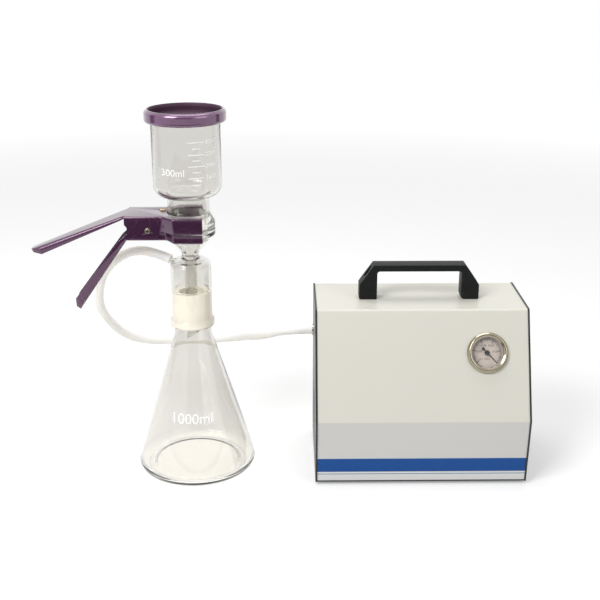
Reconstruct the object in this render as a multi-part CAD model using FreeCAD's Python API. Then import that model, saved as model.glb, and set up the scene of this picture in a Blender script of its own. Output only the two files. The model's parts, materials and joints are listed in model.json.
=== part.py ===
import FreeCAD, Part
import math
import os

from FreeCAD import Vector

# Vacuum filtration unit: a glass filter holder on a conical flask, held together
# by a spring clamp, with a silicone hose to a portable oil-free vacuum pump.
# Millimetres, +Z up.  The origin is the middle of the flask's foot on the bench,
# +X runs to the pump and -Y is the front, where the gauge looks.

X_AXIS = Vector(1, 0, 0)
Y_AXIS = Vector(0, 1, 0)
Z_AXIS = Vector(0, 0, 1)
ORIGIN = Vector(0, 0, 0)

# ---------------------------------------------------------------- flask
flask_diameter = 133.6
flask_foot_round = 10.0
flask_wall = 2.6
flask_floor = 4.0
flask_push_up = 2.0            # hollow under the foot
flask_foot_ring = 14.0         # width of the ring that it stands on
shoulder_height = 161.0        # where the cone meets the neck
shoulder_radius = 21.2         # of the cone where it meets the neck
joint_rise = 11.0              # from there up to the ground joint's lower end
joint_length = 39.0
joint_top_radius = 18.6
joint_taper = 1.0 / 20.0       # radius for each millimetre of height
joint_clearance = 0.05
neck_wall = 4.6

# ---------------------------------------------------------------- filter base
flange_radius = 28.0
flange_edge = 7.8
cone_height = 28.5             # from the stem up to the flange's face
stem_radius = 9.2
stem_run = 5.0
stem_shoulder = 4.0            # from the chamber's shoulder up to the stem
chamber_radius = 22.2
chamber_wall = 2.6
chamber_height = 35.5          # from the ground joint's top up to the shoulder
bead_radius = 24.3
bead_height = 7.0
drip_tube_radius = 6.6
drip_tube_wall = 1.8
drip_tube_length = 92.5        # down from the stem
support_radius = 20.1
support_thickness = 5.0
support_ledge = 2.0
support_clearance = 0.05
arm_tilt = 18.0                # side arm above the horizontal, degrees
arm_turn = 20.0                # side arm towards the back, degrees
arm_root_out = 13.0            # start of the side arm, left of the middle
arm_root_drop = 3.0            # start of the side arm below the shoulder
arm_length = 24.0
arm_cover_start = 10.0         # where the hose begins on the arm
barb_lip = 0.35                # how far a barb stands out of the hose's bore

# ---------------------------------------------------------------- funnel and lid
membrane_radius = 25.0
membrane_thickness = 0.3
funnel_radius = 36.5
funnel_wall = 2.5
funnel_height = 116.7          # above the membrane
funnel_corner = 13.0
funnel_floor = 36.0            # outside of the bowl's floor above the membrane
funnel_base = 2.6              # thickness of that floor at the wall
funnel_stem = 29.0             # of the neck below its seam with the bowl
funnel_seam = 49.7             # from the foot to the seam over the bowl's round corner
funnel_neck_radius = 22.5
funnel_neck_wall = 3.0
funnel_flange_edge = 6.7
funnel_flange_cone = 9.5
lid_radius = 43.0
lid_height = 13.4
lid_rim_width = 5.3
lid_panel = 1.6
lid_panel_depth = 8.4          # below the top of the rim
lid_clearance = 0.4

# ---------------------------------------------------------------- clamp
sheet = 1.5
jaw_over = 17.0                # the upper jaw's top above the flange's face
jaw_under = 9.8                # the lower jaw's bottom below it
jaw_gap = 1.3
jaw_rear = -66.5
jaw_tip = 17.0
jaw_half_width = 22.0
fork_half_width = 34.5
flare_start = -27.0
flare_end = -14.0
flare_delay = 4.0              # how much later the inner jaw begins to widen
jaw_side_gap = 0.3
ear_front = -30.0              # front edge of the upper jaw's ears
glass_gap = 1.0                # round the funnel's neck in the upper fork
lower_slot_radius = 27.0
fold_radius = 1.8
pivot_x = -42.0
pivot_over = 1.6               # the pivot above the flange's face
pin_radius = 2.4
pin_fit = 0.08
pin_head_radius = 3.4
pin_head_height = 1.8
lever_root_width = 36.0
lever_tip_width = 21.0
lever_bend = 7.0               # length of the bend where a lever leaves its jaw
lever_tip_round = 12.0         # length of the rounded end
upper_lever_angle = 20.8
upper_lever_length = 112.0
upper_lever_depths = (3.0, 9.0)     # of the channel, at the jaw and at the tip
lower_lever_angle = 55.2
lower_lever_length = 101.0
lower_lever_depths = (6.5, 11.5)
lower_lever_step = 1.5         # how far in front of the jaw's rear edge it starts
spring_wire = 1.4
spring_coil_radius = 4.6
spring_pitch = 2.6
spring_turns = 6
spring_leg_x = -31.0           # where its legs pass through the jaws, clear of the glass
spring_leg_y = 5.0
spring_leg_hole = 1.4

# ---------------------------------------------------------------- hose
hose_radius = 5.0
hose_bore = 3.0
inlet_flange = 2.0             # thickness of the inlet fitting's flange
thread_radius = 4.0            # of the inlet fitting through the panel
barb_height = 141.0            # of the pump's inlet above the bench
barb_depth = 60.0              # of the pump's inlet behind the flask's middle
hose_route = [
    (-71.8, 23.7, 250.1),
    (-103.9, 40.6, 222.2),
    (-114.5, 50.9, 180.9),
    (-107.5, 66.0, 153.1),
    (-90.0, 86.1, 124.0),
    (-60.5, 100.0, 111.4),
    (-25.2, 107.1, 110.7),
    (14.2, 105.0, 111.4),
    (53.5, 92.0, 120.3),
    (74.3, 70.7, 129.2),
]
hose_first_run = 24.8
hose_last_run = 30.6

# ---------------------------------------------------------------- pump case
case_left = 136.0
case_width = 236.0
case_top = 192.4
case_floor = 4.0
case_front_top = -13.0
case_crease = -63.0
case_crease_height = 79.5
case_front_bottom = -57.5
case_back = 80.0
case_fold = 3.0
case_sheet = 1.2
case_return = 12.5             # width of the lips folded in behind the side panels
panel_thickness = 2.0
panel_proud = 0.8
tray_sheet = 1.8
tray_lip = 14.0
case_screw_radius = 3.0
case_screw_sink = 1.5          # depth of the countersunk head
case_screw_shank = 1.5
case_screw_length = 6.0
case_screw_clearance = 0.2
foot_radius = 9.0
foot_inset = 22.0
vent_width = 3.0
vent_pitch = 8.0
vent_length = 46.0
vent_count = 9

# ---------------------------------------------------------------- handle
handle_length = 135.0
handle_front = 21.0
handle_depth = 18.0
handle_rise = 40.0
handle_leg = 20.0
handle_bar = 7.0
handle_shoulder = 17.0
handle_slant = 16.0
handle_bolt_radius = 2.5
handle_bolt_head = 4.2
handle_seat = 6.0

# ---------------------------------------------------------------- gauge
gauge_inset = 47.2             # the gauge's middle from the case's right side
gauge_down = 47.7              # from the case's front top edge, along the slope
gauge_can_radius = 19.8
gauge_can_depth = 24.0
gauge_can_wall = 1.2
bezel_radius = 22.6
bezel_opening = 17.3
bezel_height = 5.2
lens_thickness = 1.5
dial_radius = 18.3
dial_thickness = 0.8
pointer_length = 15.4
pointer_tail = 7.6
pointer_angle = -46.0
pointer_hub = 2.9
pointer_thickness = 0.6
arbor_radius = 0.8
running_fit = 0.05
stem_hex_radius = 7.0
stem_length = 17.0

# ---------------------------------------------------------------- switch and inlet
switch_y = 48.0
switch_z = 128.0
switch_opening_width = 14.0
switch_opening_height = 25.0
switch_rim = 3.0
switch_depth = 18.0
rocker_gap = 0.5
rocker_swing = 8.0
power_y = 48.0
power_z = 62.0
power_flange_width = 23.0
power_flange_height = 50.0
power_screw_spacing = 40.0
power_body_width = 20.0
power_body_height = 28.0
power_recess_width = 16.4
power_recess_height = 23.6
power_pin_spacing = 14.0

# ---------------------------------------------------------------- drive inside the case
shaft_y = 14.0
shaft_z = 70.0
shaft_radius = 5.0
motor_start = 232.0
motor_length = 84.0
motor_radius = 38.0
fan_start = 328.0
fan_width = 12.0
fan_radius = 34.0
fan_blades = 7
crankcase_start = 180.0
crankcase_width = 40.0
crankcase_half = 30.0
crankcase_wall = 5.0
crankcase_top = 112.0
crankcase_bottom = 44.0
eccentric_throw = 1.8
eccentric_radius = 8.0
eccentric_width = 12.0
rod_eye_gap = 4.2
rod_eye_wall = 4.0
rod_width = 11.0
diaphragm_radius = 25.0
diaphragm_thickness = 2.0
valve_plate_height = 11.0
head_height = 14.0
head_chamber_depth = 6.0
head_chamber_radius = 19.0
port_offset = 8.0              # of each valve from the head's middle
port_radius = 2.5
valve_radius = 5.5
valve_thickness = 0.8
head_bolt_radius = 2.0
head_bolt_circle = 22.4
silencer_thread_radius = 3.5
tube_headroom = 17.4           # of the gauge's tube under the case's top
tube_radius = 3.2
tube_nipple_radius = 2.0       # hard nipples that the soft tubes go over
nipple_length = 10.0
bearing_radius = 11.0
bearing_width = 7.0

# ---------------------------------------------------------------- places that follow from the sizes
joint_bottom = shoulder_height + joint_rise
joint_top = joint_bottom + joint_length
chamber_shoulder = joint_top + chamber_height
stem_bottom = chamber_shoulder + stem_shoulder
stem_top = stem_bottom + stem_run
flange_face = stem_top + cone_height
drip_tube_end = stem_bottom - drip_tube_length
arm_root = Vector(-arm_root_out, 0, chamber_shoulder - arm_root_drop)
jaw_top = flange_face + jaw_over
jaw_bottom = flange_face - jaw_under
pivot_z = flange_face + pivot_over
gauge_x = case_left + case_width - gauge_inset
handle_middle = case_left + case_width / 2



# ================================================================ general shapes

def in_xz(a, b):
    return Vector(a, 0, b)


def in_xy(a, b):
    return Vector(a, b, 0)


def in_yz(a, b):
    return Vector(0, a, b)


def outline(corners, place):
    """A closed wire through corners (a, b, radius); a radius makes a tangent arc."""
    entries = []
    exits = []
    middles = []
    count = len(corners)
    for index, (a, b, radius) in enumerate(corners):
        here = Vector(a, b, 0)
        before_a, before_b, _ = corners[index - 1]
        after_a, after_b, _ = corners[(index + 1) % count]
        before = Vector(before_a, before_b, 0).sub(here).normalize()
        after = Vector(after_a, after_b, 0).sub(here).normalize()
        half = before.getAngle(after) / 2
        reach = radius / math.tan(half)
        bisector = before.add(after)
        if radius == 0 or bisector.Length < 1e-9:
            entries.append(here)
            exits.append(here)
            middles.append(None)
            continue
        bisector.normalize()
        entries.append(here.add(before.multiply(reach)))
        exits.append(here.add(after.multiply(reach)))
        middles.append(here.add(bisector.multiply(radius / math.sin(half) - radius)))
    edges = []
    for index in range(count):
        start = place(entries[index].x, entries[index].y)
        end = place(exits[index].x, exits[index].y)
        if middles[index] is not None:
            middle = place(middles[index].x, middles[index].y)
            edges.append(Part.Arc(start, middle, end).toShape())
        following = entries[(index + 1) % count]
        onward = place(following.x, following.y)
        if end.distanceToPoint(onward) > 1e-6:
            edges.append(Part.LineSegment(end, onward).toShape())
    return Part.Wire(edges)


def turned(corners):
    """A solid of revolution about Z from a profile of (radius, height, fillet)."""
    return Part.Face(outline(corners, in_xz)).revolve(ORIGIN, Z_AXIS, 360)


def prism(corners, place, along):
    return Part.Face(outline(corners, place)).extrude(along)


def cylinder(radius, height, start, along=Z_AXIS):
    return Part.makeCylinder(radius, height, start, along)


def block(x0, x1, y0, y1, z0, z1):
    return Part.makeBox(x1 - x0, y1 - y0, z1 - z0, Vector(x0, y0, z0))


def arc_route(points):
    """Straight runs joined by tangent arcs, each as large as its two runs allow."""
    edges = []
    radii = []
    start = points[0]
    for index in range(1, len(points) - 1):
        here = points[index]
        before = points[index - 1].sub(here)
        after = points[index + 1].sub(here)
        reach = 0.45 * min(before.Length, after.Length)
        before.normalize()
        after.normalize()
        half = before.getAngle(after) / 2
        radius = reach * math.tan(half)
        entry = here.add(before * reach)
        leave = here.add(after * reach)
        bisector = before.add(after).normalize()
        middle = here.add(bisector * (radius / math.sin(half) - radius))
        edges.append(Part.LineSegment(start, entry).toShape())
        edges.append(Part.Arc(entry, middle, leave).toShape())
        radii.append(radius)
        start = leave
    edges.append(Part.LineSegment(start, points[-1]).toShape())
    return Part.Wire(edges), radii


def tube_along(points, radius, bore):
    """A round tube, with a bore right through, along an arc route."""
    path, radii = arc_route(points)
    heading = points[1].sub(points[0])
    solids = []
    for size in (radius, bore):
        ring = Part.Wire(Part.makeCircle(size, points[0], heading))
        solids.append(path.makePipeShell([ring], True, False))
    return solids[0].cut(solids[1]), path, radii


def barbed_stub(start, heading, length, radius, bore, barbs):
    """A hollow nipple whose barbs stand a little out of the hose's bore."""
    lip = radius + barb_lip
    profile = [(bore, 0, 0), (radius, 0, 0)]
    step = length / (barbs + 1.0)
    for index in range(barbs):
        low = step * (index + 0.6)
        profile.append((radius, low, 0))
        profile.append((lip, low + 0.2 * step, 0))
        profile.append((radius, low + 0.8 * step, 0))
    profile.append((radius - barb_lip, length, 0))
    profile.append((bore, length, 0))
    stub = turned(profile)
    stub.Placement = FreeCAD.Placement(start, FreeCAD.Rotation(Z_AXIS, heading))
    return stub


# ================================================================ glassware

def joint_radius(height):
    """Outside of the flask's ground neck at a height."""
    return joint_top_radius + (joint_top - height) * joint_taper


def cone_lean():
    """Angle of the flask's wall: from its shoulder it runs on to the foot's rounding."""
    inward = flask_diameter / 2 - flask_foot_round - shoulder_radius
    down = shoulder_height - flask_foot_round
    reach = math.hypot(inward, down)
    return math.atan2(inward, down) + math.asin(flask_foot_round / reach)


def flask_glass():
    lean = cone_lean()
    slope = math.tan(lean)
    corner = math.pi / 4 - lean / 2
    radius = flask_diameter / 2
    foot_corner = radius - flask_foot_round + flask_foot_round / math.tan(corner)
    wall = flask_wall / math.cos(lean)
    bore = joint_top_radius - neck_wall
    inner_bend = (foot_corner - wall - bore) / slope
    stand = foot_corner - flask_foot_round - flask_foot_ring
    return turned([
        (0, flask_push_up, 0),
        (stand, flask_push_up, 2),
        (stand + 4, 0, 2),
        (foot_corner, 0, flask_foot_round),
        (shoulder_radius, shoulder_height, 14),
        (joint_radius(joint_bottom), joint_bottom - 2, 1),
        (joint_top_radius, joint_top, 1),
        (bore, joint_top, 1.5),
        (bore, inner_bend, 18),
        (foot_corner - wall - flask_floor * slope, flask_floor + 2, flask_foot_round - 4),
        (stand, flask_floor + flask_push_up, 0),
        (0, flask_floor + flask_push_up, 0),
    ])


def split_at(glass, height, above):
    """The part of a piece of glass above or below the seam where it was joined."""
    reach = flask_diameter
    if above:
        return glass.common(block(-reach, reach, -reach, reach, height, height + 500))
    return glass.common(block(-reach, reach, -reach, reach, height - 500, height))


def make_flask():
    """The blown cone, up to the seam with the ground neck."""
    return split_at(flask_glass(), shoulder_height, False)


def make_flask_joint():
    """The ground neck, sealed on to the cone."""
    return split_at(flask_glass(), shoulder_height, True)


def arm_heading():
    tilt = math.radians(arm_tilt)
    turn = math.radians(arm_turn)
    level = math.cos(tilt)
    return Vector(-level * math.cos(turn), level * math.sin(turn), math.sin(tilt))


def make_filter_base():
    socket_low = joint_radius(joint_bottom) + joint_clearance
    socket_top = joint_top + 2.5
    socket_high = joint_radius(socket_top) + joint_clearance
    chamber = chamber_radius - chamber_wall
    bore = drip_tube_radius - drip_tube_wall
    seat = support_radius + support_clearance
    ledge = support_radius - support_ledge
    ledge_height = flange_face - support_thickness
    body = turned([
        (seat, flange_face, 0),
        (flange_radius, flange_face, 1),
        (flange_radius, flange_face - flange_edge, 2),
        (lower_slot_radius - 1.5, flange_face - flange_edge - 1, 2),
        (stem_radius, stem_top, 3),
        (stem_radius, stem_bottom, 3),
        (chamber_radius, chamber_shoulder, 7),
        (chamber_radius, joint_bottom + bead_height + 2, 2),
        (bead_radius, joint_bottom + bead_height, 1.5),
        (bead_radius, joint_bottom, 1.5),
        (socket_low, joint_bottom, 0.8),
        (socket_high, socket_top, 0),
        (chamber, socket_top + 1, 0),
        (chamber, chamber_shoulder - 3, 5),
        (drip_tube_radius, stem_bottom - 3.2, 2),
        (drip_tube_radius, drip_tube_end, 0),
        (bore, drip_tube_end, 0),
        (bore, stem_top + 1, 4),
        (ledge, ledge_height - 6.5, 3),
        (ledge, ledge_height, 0),
        (seat, ledge_height, 0),
    ])
    tip_cut = block(-10, 10, -10, 10, -20, 0)
    tip_cut.rotate(ORIGIN, Y_AXIS, -30)
    tip_cut.translate(Vector(0, 0, drip_tube_end + 4))
    stay = cylinder(drip_tube_radius + 1, 20, Vector(0, 0, drip_tube_end - 10))
    body = body.cut(tip_cut.common(stay))
    heading = arm_heading()
    arm = barbed_stub(arm_root, heading, arm_length, hose_bore, hose_bore - 1.2, 2)
    inside = cylinder(chamber, 60, Vector(0, 0, joint_top - 10))
    arm_bore = cylinder(hose_bore - 1.2, arm_length + 6, arm_root.sub(heading * 4), heading)
    return body.fuse(arm.cut(inside)).cut(arm_bore).removeSplitter()


def make_frit_disc():
    top = flange_face
    return turned([
        (0, top - support_thickness, 0),
        (support_radius, top - support_thickness, 0.4),
        (support_radius, top, 0.2),
        (0, top, 0),
    ])


def make_membrane_filter():
    return cylinder(membrane_radius, membrane_thickness, Vector(0, 0, flange_face))


def funnel_foot():
    return flange_face + membrane_thickness


def funnel_rim():
    return funnel_foot() + funnel_height


def funnel_glass():
    foot = funnel_foot()
    bowl = foot + funnel_floor
    neck_top = foot + funnel_flange_edge + funnel_flange_cone
    neck_bore = funnel_neck_radius - funnel_neck_wall
    inner = funnel_radius - funnel_wall
    return turned([
        (neck_bore, foot, 0.5),
        (flange_radius, foot, 0.8),
        (flange_radius, foot + funnel_flange_edge, 3),
        (funnel_neck_radius, neck_top, 3),
        (funnel_neck_radius, bowl - 1.6, 3),
        (funnel_radius, bowl, funnel_corner),
        (funnel_radius, funnel_rim(), 1),
        (inner, funnel_rim(), 1),
        (inner, bowl + funnel_base, funnel_corner - funnel_wall),
        (neck_bore, bowl + funnel_base - 2, 4),
    ])


def make_funnel():
    """The straight wall, down to the seam over the bowl's round corner."""
    return split_at(funnel_glass(), funnel_foot() + funnel_seam, True)


def make_funnel_bowl():
    """The round corner and the floor of the bowl, down to the seam in the neck."""
    lower = split_at(funnel_glass(), funnel_foot() + funnel_seam, False)
    return split_at(lower, funnel_foot() + funnel_stem, True)


def make_funnel_stem():
    """The neck and its ground flange, sealed on to the bowl."""
    return split_at(funnel_glass(), funnel_foot() + funnel_stem, False)


def make_lid():
    panel_base = funnel_rim()
    panel_top = panel_base + lid_panel
    rim_top = panel_top + lid_panel_depth
    rim_base = rim_top - lid_height
    skirt = funnel_radius + lid_clearance
    recess = lid_radius - lid_rim_width
    middle = 0.5 * (recess + lid_radius)
    return turned([
        (0, panel_base, 0),
        (skirt, panel_base, 0),
        (skirt, rim_base, 0.8),
        (lid_radius, rim_base, 3.5),
        (lid_radius, rim_top, 4.4),
        (middle - 1.4, rim_top + 0.2, 2),
        (recess, rim_top - 3, 1.5),
        (recess, panel_top, 1.2),
        (0, panel_top, 0),
    ])


# ================================================================ spring clamp

def jaw_plan(rear, delay, grow, ends):
    """Plan of a jaw as corners (x, y, radius): narrow at the rear, wide at the fork."""
    start = flare_start + delay
    turn = math.atan2(fork_half_width - rear, flare_end - start)
    shift = grow * math.tan(turn / 2)
    half = [
        (jaw_rear - ends, rear + grow, 0),
        (start - shift, rear + grow, 5),
        (flare_end - shift, fork_half_width + grow, 5),
        (jaw_tip + ends, fork_half_width + grow, 0),
    ]
    mirrored = [(x, -y, radius) for x, y, radius in half]
    return mirrored + half[::-1]


def folded_jaw(rear, delay, low, high, top_side):
    """A channel of sheet with both its long edges folded round."""
    outer = prism(jaw_plan(rear, delay, 0, 0), in_xy, Vector(0, 0, high - low))
    outer.translate(Vector(0, 0, low))
    flat = high if top_side else low
    folds = []
    for edge in outer.Edges:
        box = edge.BoundBox
        on_flat = abs(box.ZMin - flat) < 1e-6 and abs(box.ZMax - flat) < 1e-6
        if on_flat and box.XLength > 1:
            folds.append(edge)
    outer = outer.makeFillet(fold_radius, folds)
    inner = prism(jaw_plan(rear, delay, -sheet, 5), in_xy, Vector(0, 0, high - low))
    inner.translate(Vector(0, 0, low - sheet if top_side else low + sheet))
    return outer.cut(inner)


def fork_slot(radius):
    """The open-ended cut that lets the fork slide over the glass."""
    height = jaw_top - jaw_bottom + 20
    low = jaw_bottom - 10
    round_end = cylinder(radius, height, Vector(0, 0, low))
    mouth = block(0, jaw_tip + 10, -radius, radius, low, low + height)
    return round_end.fuse(mouth)


def lever_section(crest, up, width, depth, inset):
    """A section with round shoulders; its flat top's middle is under a point."""
    half = width / 2 - inset
    shoulder = depth / 3 + sheet - inset

    def place(a, b):
        return crest.add(Y_AXIS * a).add(up * b)

    return outline([
        (-half, -depth - inset, 0),
        (-half, -inset, shoulder),
        (half, -inset, shoulder),
        (half, -depth - inset, 0),
    ], place)


def lever_form(start, along, up, length, side, depths, inset):
    """The lever as a closed block with a round tip, drawn in all round by inset."""
    root_depth, tip_depth = depths
    part = lever_bend / length
    bend_width = lever_root_width + part * (lever_tip_width - lever_root_width)
    bend_depth = root_depth + part * (tip_depth - root_depth)
    hidden = start.add(X_AXIS * 2 * sheet)
    flat_up = Z_AXIS * side
    bend = start.add(along * lever_bend)
    tip = start.add(along * length)
    form = Part.makeLoft([
        lever_section(hidden, flat_up, lever_root_width, root_depth, inset),
        lever_section(start, flat_up, lever_root_width, root_depth, inset),
        lever_section(bend, up, bend_width, bend_depth, inset),
        lever_section(tip, up, lever_tip_width, tip_depth, inset),
    ], True, True)
    end = length - inset
    half = lever_tip_width / 2 - inset
    root = lever_root_width
    plan = prism([
        (end, -half / 2, half / 2 - 0.1),
        (end, half / 2, half / 2 - 0.1),
        (end - lever_tip_round, half + 1, lever_tip_round / 2),
        (lever_bend, root, 0),
        (-root, root, 0),
        (-root, -root, 0),
        (lever_bend, -root, 0),
        (end - lever_tip_round, -half - 1, lever_tip_round / 2),
    ], in_xy, Vector(0, 0, 2 * root))
    turn = FreeCAD.Rotation(along, Y_AXIS, up, "XZY")
    plan.Placement = FreeCAD.Placement(start.sub(up * root), turn)
    return form.common(plan)


def make_lever(start, angle, length, side, depths):
    """A channel that narrows to a closed tip; side is 1 above, -1 below."""
    lean = math.radians(angle)
    along = Vector(-math.cos(lean), 0, -math.sin(lean))
    up = Vector(-math.sin(lean), 0, math.cos(lean)) * side
    outer = lever_form(start, along, up, length, side, depths, 0)
    inner = lever_form(start, along, up, length, side, depths, sheet)
    low = -depths[1]
    rake = prism([
        (length - lever_tip_round, low - 0.5, 0),
        (length + 1, low / 3, 0),
        (length + 1, low - 5, 0),
        (length - lever_tip_round, low - 5, 0),
    ], in_xz, Vector(0, 2 * lever_root_width, 0))
    turn = FreeCAD.Rotation(along, Y_AXIS, up, "XZY")
    edge = turn.multVec(Vector(0, -lever_root_width, 0))
    rake.Placement = FreeCAD.Placement(start.add(edge), turn)
    return outer.cut([inner, rake])


def side_keep(corners):
    """A slab as wide as the clamp that keeps only its side view."""
    slab = prism(corners, in_xz, Vector(0, 2 * fork_half_width + 4, 0))
    slab.translate(Vector(0, -fork_half_width - 2, 0))
    return slab


def leg_hole(height, side):
    """The hole in a jaw for a leg of the spring; side is 1 above, -1 below."""
    start = Vector(spring_leg_x, side * spring_leg_y, height - 2 * sheet)
    return cylinder(spring_leg_hole, 4 * sheet, start)


def make_upper_jaw():
    edge = pivot_z - 1.4 + jaw_gap / 2
    ear = jaw_bottom + 1.2
    jaw = folded_jaw(jaw_half_width, 0, ear, jaw_top, True)
    jaw = jaw.common(side_keep([
        (jaw_rear, jaw_top, 0),
        (jaw_tip, jaw_top, 0),
        (jaw_tip, edge, 1.5),
        (ear_front, edge, 1.5),
        (ear_front, ear, 3),
        (jaw_rear + 2.5, ear, 1.5),
        (jaw_rear + 2.5, pivot_z + 3.5, 1),
        (jaw_rear, pivot_z + 6.5, 1.5),
    ]))
    jaw = jaw.cut([fork_slot(funnel_neck_radius + glass_gap), leg_hole(jaw_top, 1)])
    start = Vector(jaw_rear, 0, jaw_top)
    lever = make_lever(start, upper_lever_angle, upper_lever_length, 1, upper_lever_depths)
    hole_start = Vector(pivot_x, -jaw_half_width - 2, pivot_z)
    hole = cylinder(pin_radius + pin_fit, 2 * jaw_half_width + 4, hole_start, Y_AXIS)
    return jaw.fuse(lever).cut(hole).removeSplitter()


def make_lower_jaw():
    inside = jaw_half_width - sheet - jaw_side_gap
    edge = pivot_z - 1.4 - jaw_gap / 2
    ear = jaw_top - sheet - 6
    jaw = folded_jaw(inside, flare_delay, jaw_bottom, ear, False)
    jaw = jaw.common(side_keep([
        (jaw_rear, jaw_bottom, 0),
        (jaw_tip, jaw_bottom, 0),
        (jaw_tip, edge, 1.5),
        (flare_start - 1, edge, 2),
        (pivot_x + 9, ear, 5),
        (pivot_x - 9, ear, 6),
        (pivot_x - 16, edge, 3),
        (jaw_rear, edge - 3, 1),
    ]))
    jaw = jaw.cut([fork_slot(lower_slot_radius), leg_hole(jaw_bottom, -1)])
    start = Vector(jaw_rear + lower_lever_step, 0, jaw_bottom)
    lever = make_lever(start, lower_lever_angle, lower_lever_length, -1, lower_lever_depths)
    hole_start = Vector(pivot_x, -inside - 2, pivot_z)
    hole = cylinder(pin_radius + pin_fit, 2 * inside + 4, hole_start, Y_AXIS)
    return jaw.fuse(lever).cut(hole).removeSplitter()


def make_pivot_pin():
    """A rivet with a domed head at each side of the clamp."""
    half = jaw_half_width + 0.1
    dome = half + pin_head_height
    pin = turned([
        (0, -dome, 0),
        (pin_head_radius * 0.6, -dome, 0.8),
        (pin_head_radius, -half, 0),
        (pin_radius, -half, 0),
        (pin_radius, half, 0),
        (pin_head_radius, half, 0),
        (pin_head_radius * 0.6, dome, 0.8),
        (0, dome, 0),
    ])
    pin.rotate(ORIGIN, X_AXIS, 90)
    pin.translate(Vector(pivot_x, 0, pivot_z))
    return pin


def make_clamp_spring():
    """A torsion spring round the pin, with a leg hooked over the outside of each jaw."""
    length = spring_pitch * spring_turns
    helix = Part.makeHelix(spring_pitch, length, spring_coil_radius)
    ring = Part.Wire(Part.makeCircle(spring_wire / 2, Vector(spring_coil_radius, 0, 0), Y_AXIS))
    coil = Part.Wire(helix.Edges).makePipeShell([ring], True, False)
    coil.rotate(ORIGIN, X_AXIS, 90)
    coil.translate(Vector(pivot_x, length / 2, pivot_z))
    upper_leg = wire_leg(1, jaw_top, -funnel_neck_radius - glass_gap - 0.8)
    lower_leg = wire_leg(-1, jaw_bottom, -lower_slot_radius - 0.8)
    return coil.fuse([upper_leg, lower_leg])


def wire_leg(side, jaw_face, tip_x):
    """From the coil through a jaw and along its face; side is 1 above, -1 below."""
    depth = side * (spring_pitch * spring_turns / 2)
    inside = jaw_face - side * 2 * sheet
    outside = jaw_face + side * 0.65 * spring_wire
    points = [
        Vector(pivot_x + spring_coil_radius, depth, pivot_z),
        Vector(spring_leg_x, side * spring_leg_y, inside),
        Vector(spring_leg_x, side * spring_leg_y, outside),
        Vector(tip_x, side * spring_leg_y, outside),
    ]
    path, _ = arc_route(points)
    ring = Part.Wire(Part.makeCircle(spring_wire / 2, points[0], points[1].sub(points[0])))
    return path.makePipeShell([ring], True, False)


# ================================================================ hose

def hose_points():
    heading = arm_heading()
    start = arm_root.add(heading * arm_cover_start)
    end = Vector(case_left - inlet_flange, barb_depth, barb_height)
    points = [start, start.add(heading * hose_first_run)]
    points += [Vector(*point) for point in hose_route]
    points += [end.sub(X_AXIS * hose_last_run), end]
    return points


def make_hose():
    hose, path, radii = tube_along(hose_points(), hose_radius, hose_bore)
    section = math.pi * (hose_radius ** 2 - hose_bore ** 2)
    print("hose points", [tuple(round(value, 2) for value in point) for point in hose_points()])
    print("hose length", round(path.Length, 1), "radii", [round(radius) for radius in radii])
    print("hose volume / section x length", round(hose.Volume / (section * path.Length), 4))
    return hose


def make_inlet_barb():
    """Bulkhead fitting: barbs outside, and two nipples for the tubes inside."""
    tip = hose_points()[-1]
    bore = hose_bore - 1.2
    flange = cylinder(6.5, inlet_flange, tip, X_AXIS)
    thread = cylinder(thread_radius, manifold_x() + 4 - tip.x, tip, X_AXIS)
    stub = barbed_stub(tip, X_AXIS * -1, 15, hose_bore, bore, 3)
    nose = cylinder(tube_nipple_radius, nipple_length + 4, Vector(manifold_x(), tip.y, tip.z), X_AXIS)
    upper = cylinder(tube_nipple_radius, nipple_length + 4, Vector(manifold_x(), tip.y, tip.z))
    through = cylinder(1.0, 60, tip, X_AXIS)
    branch = cylinder(1.0, 20, Vector(manifold_x(), tip.y, tip.z))
    wide = cylinder(bore, 15 + manifold_x() - tip.x, tip.sub(X_AXIS * 15), X_AXIS)
    return flange.fuse([thread, stub, nose, upper]).cut([through, branch, wide]).removeSplitter()


def manifold_x():
    return case_left + panel_thickness + 12.0


def manifold_end():
    tip = hose_points()[-1]
    return Vector(manifold_x() + 5, tip.y, tip.z)


def manifold_top():
    tip = hose_points()[-1]
    return Vector(manifold_x(), tip.y, tip.z + 5)


def make_barb_nut():
    tip = hose_points()[-1]
    start = Vector(case_left + panel_thickness, tip.y, tip.z)
    nut = hexagon(7.5, 4.0)
    nut.Placement = FreeCAD.Placement(start, FreeCAD.Rotation(Z_AXIS, X_AXIS))
    return nut.cut(cylinder(thread_radius, 6, start.sub(X_AXIS), X_AXIS))


def hexagon(radius, height):
    corners = []
    for index in range(6):
        angle = math.radians(60 * index)
        corners.append((radius * math.cos(angle), radius * math.sin(angle), 0))
    return prism(corners, in_xy, Vector(0, 0, height))


# ================================================================ pump case

def case_face():
    """The case's side outline, as a face at x = 0."""
    return Part.Face(outline([
        (case_front_bottom, case_floor, 0),
        (case_back, case_floor, 0),
        (case_back, case_top, case_fold),
        (case_front_top, case_top, case_fold),
        (case_crease, case_crease_height, case_fold),
    ], in_yz))


def slope_frame():
    """Placement of the sloping front face: X along it, Y up it, Z out of it."""
    run = case_crease - case_front_top
    drop = case_top - case_crease_height
    slant = math.hypot(run, drop)
    part_down = gauge_down / slant
    middle_y = case_front_top + run * part_down
    middle_z = case_top - drop * part_down
    tilt = math.degrees(math.atan2(drop, -run))
    return FreeCAD.Placement(Vector(gauge_x, middle_y, middle_z), FreeCAD.Rotation(X_AXIS, tilt))


def on_slope(shape):
    shape.Placement = slope_frame().multiply(shape.Placement)
    return shape


def handle_bolt_places():
    inset = handle_leg / 2
    left = handle_middle - handle_length / 2 + inset
    right = handle_middle + handle_length / 2 - inset
    middle = handle_front + handle_depth / 2
    return [Vector(left, middle, case_top), Vector(right, middle, case_top)]


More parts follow.
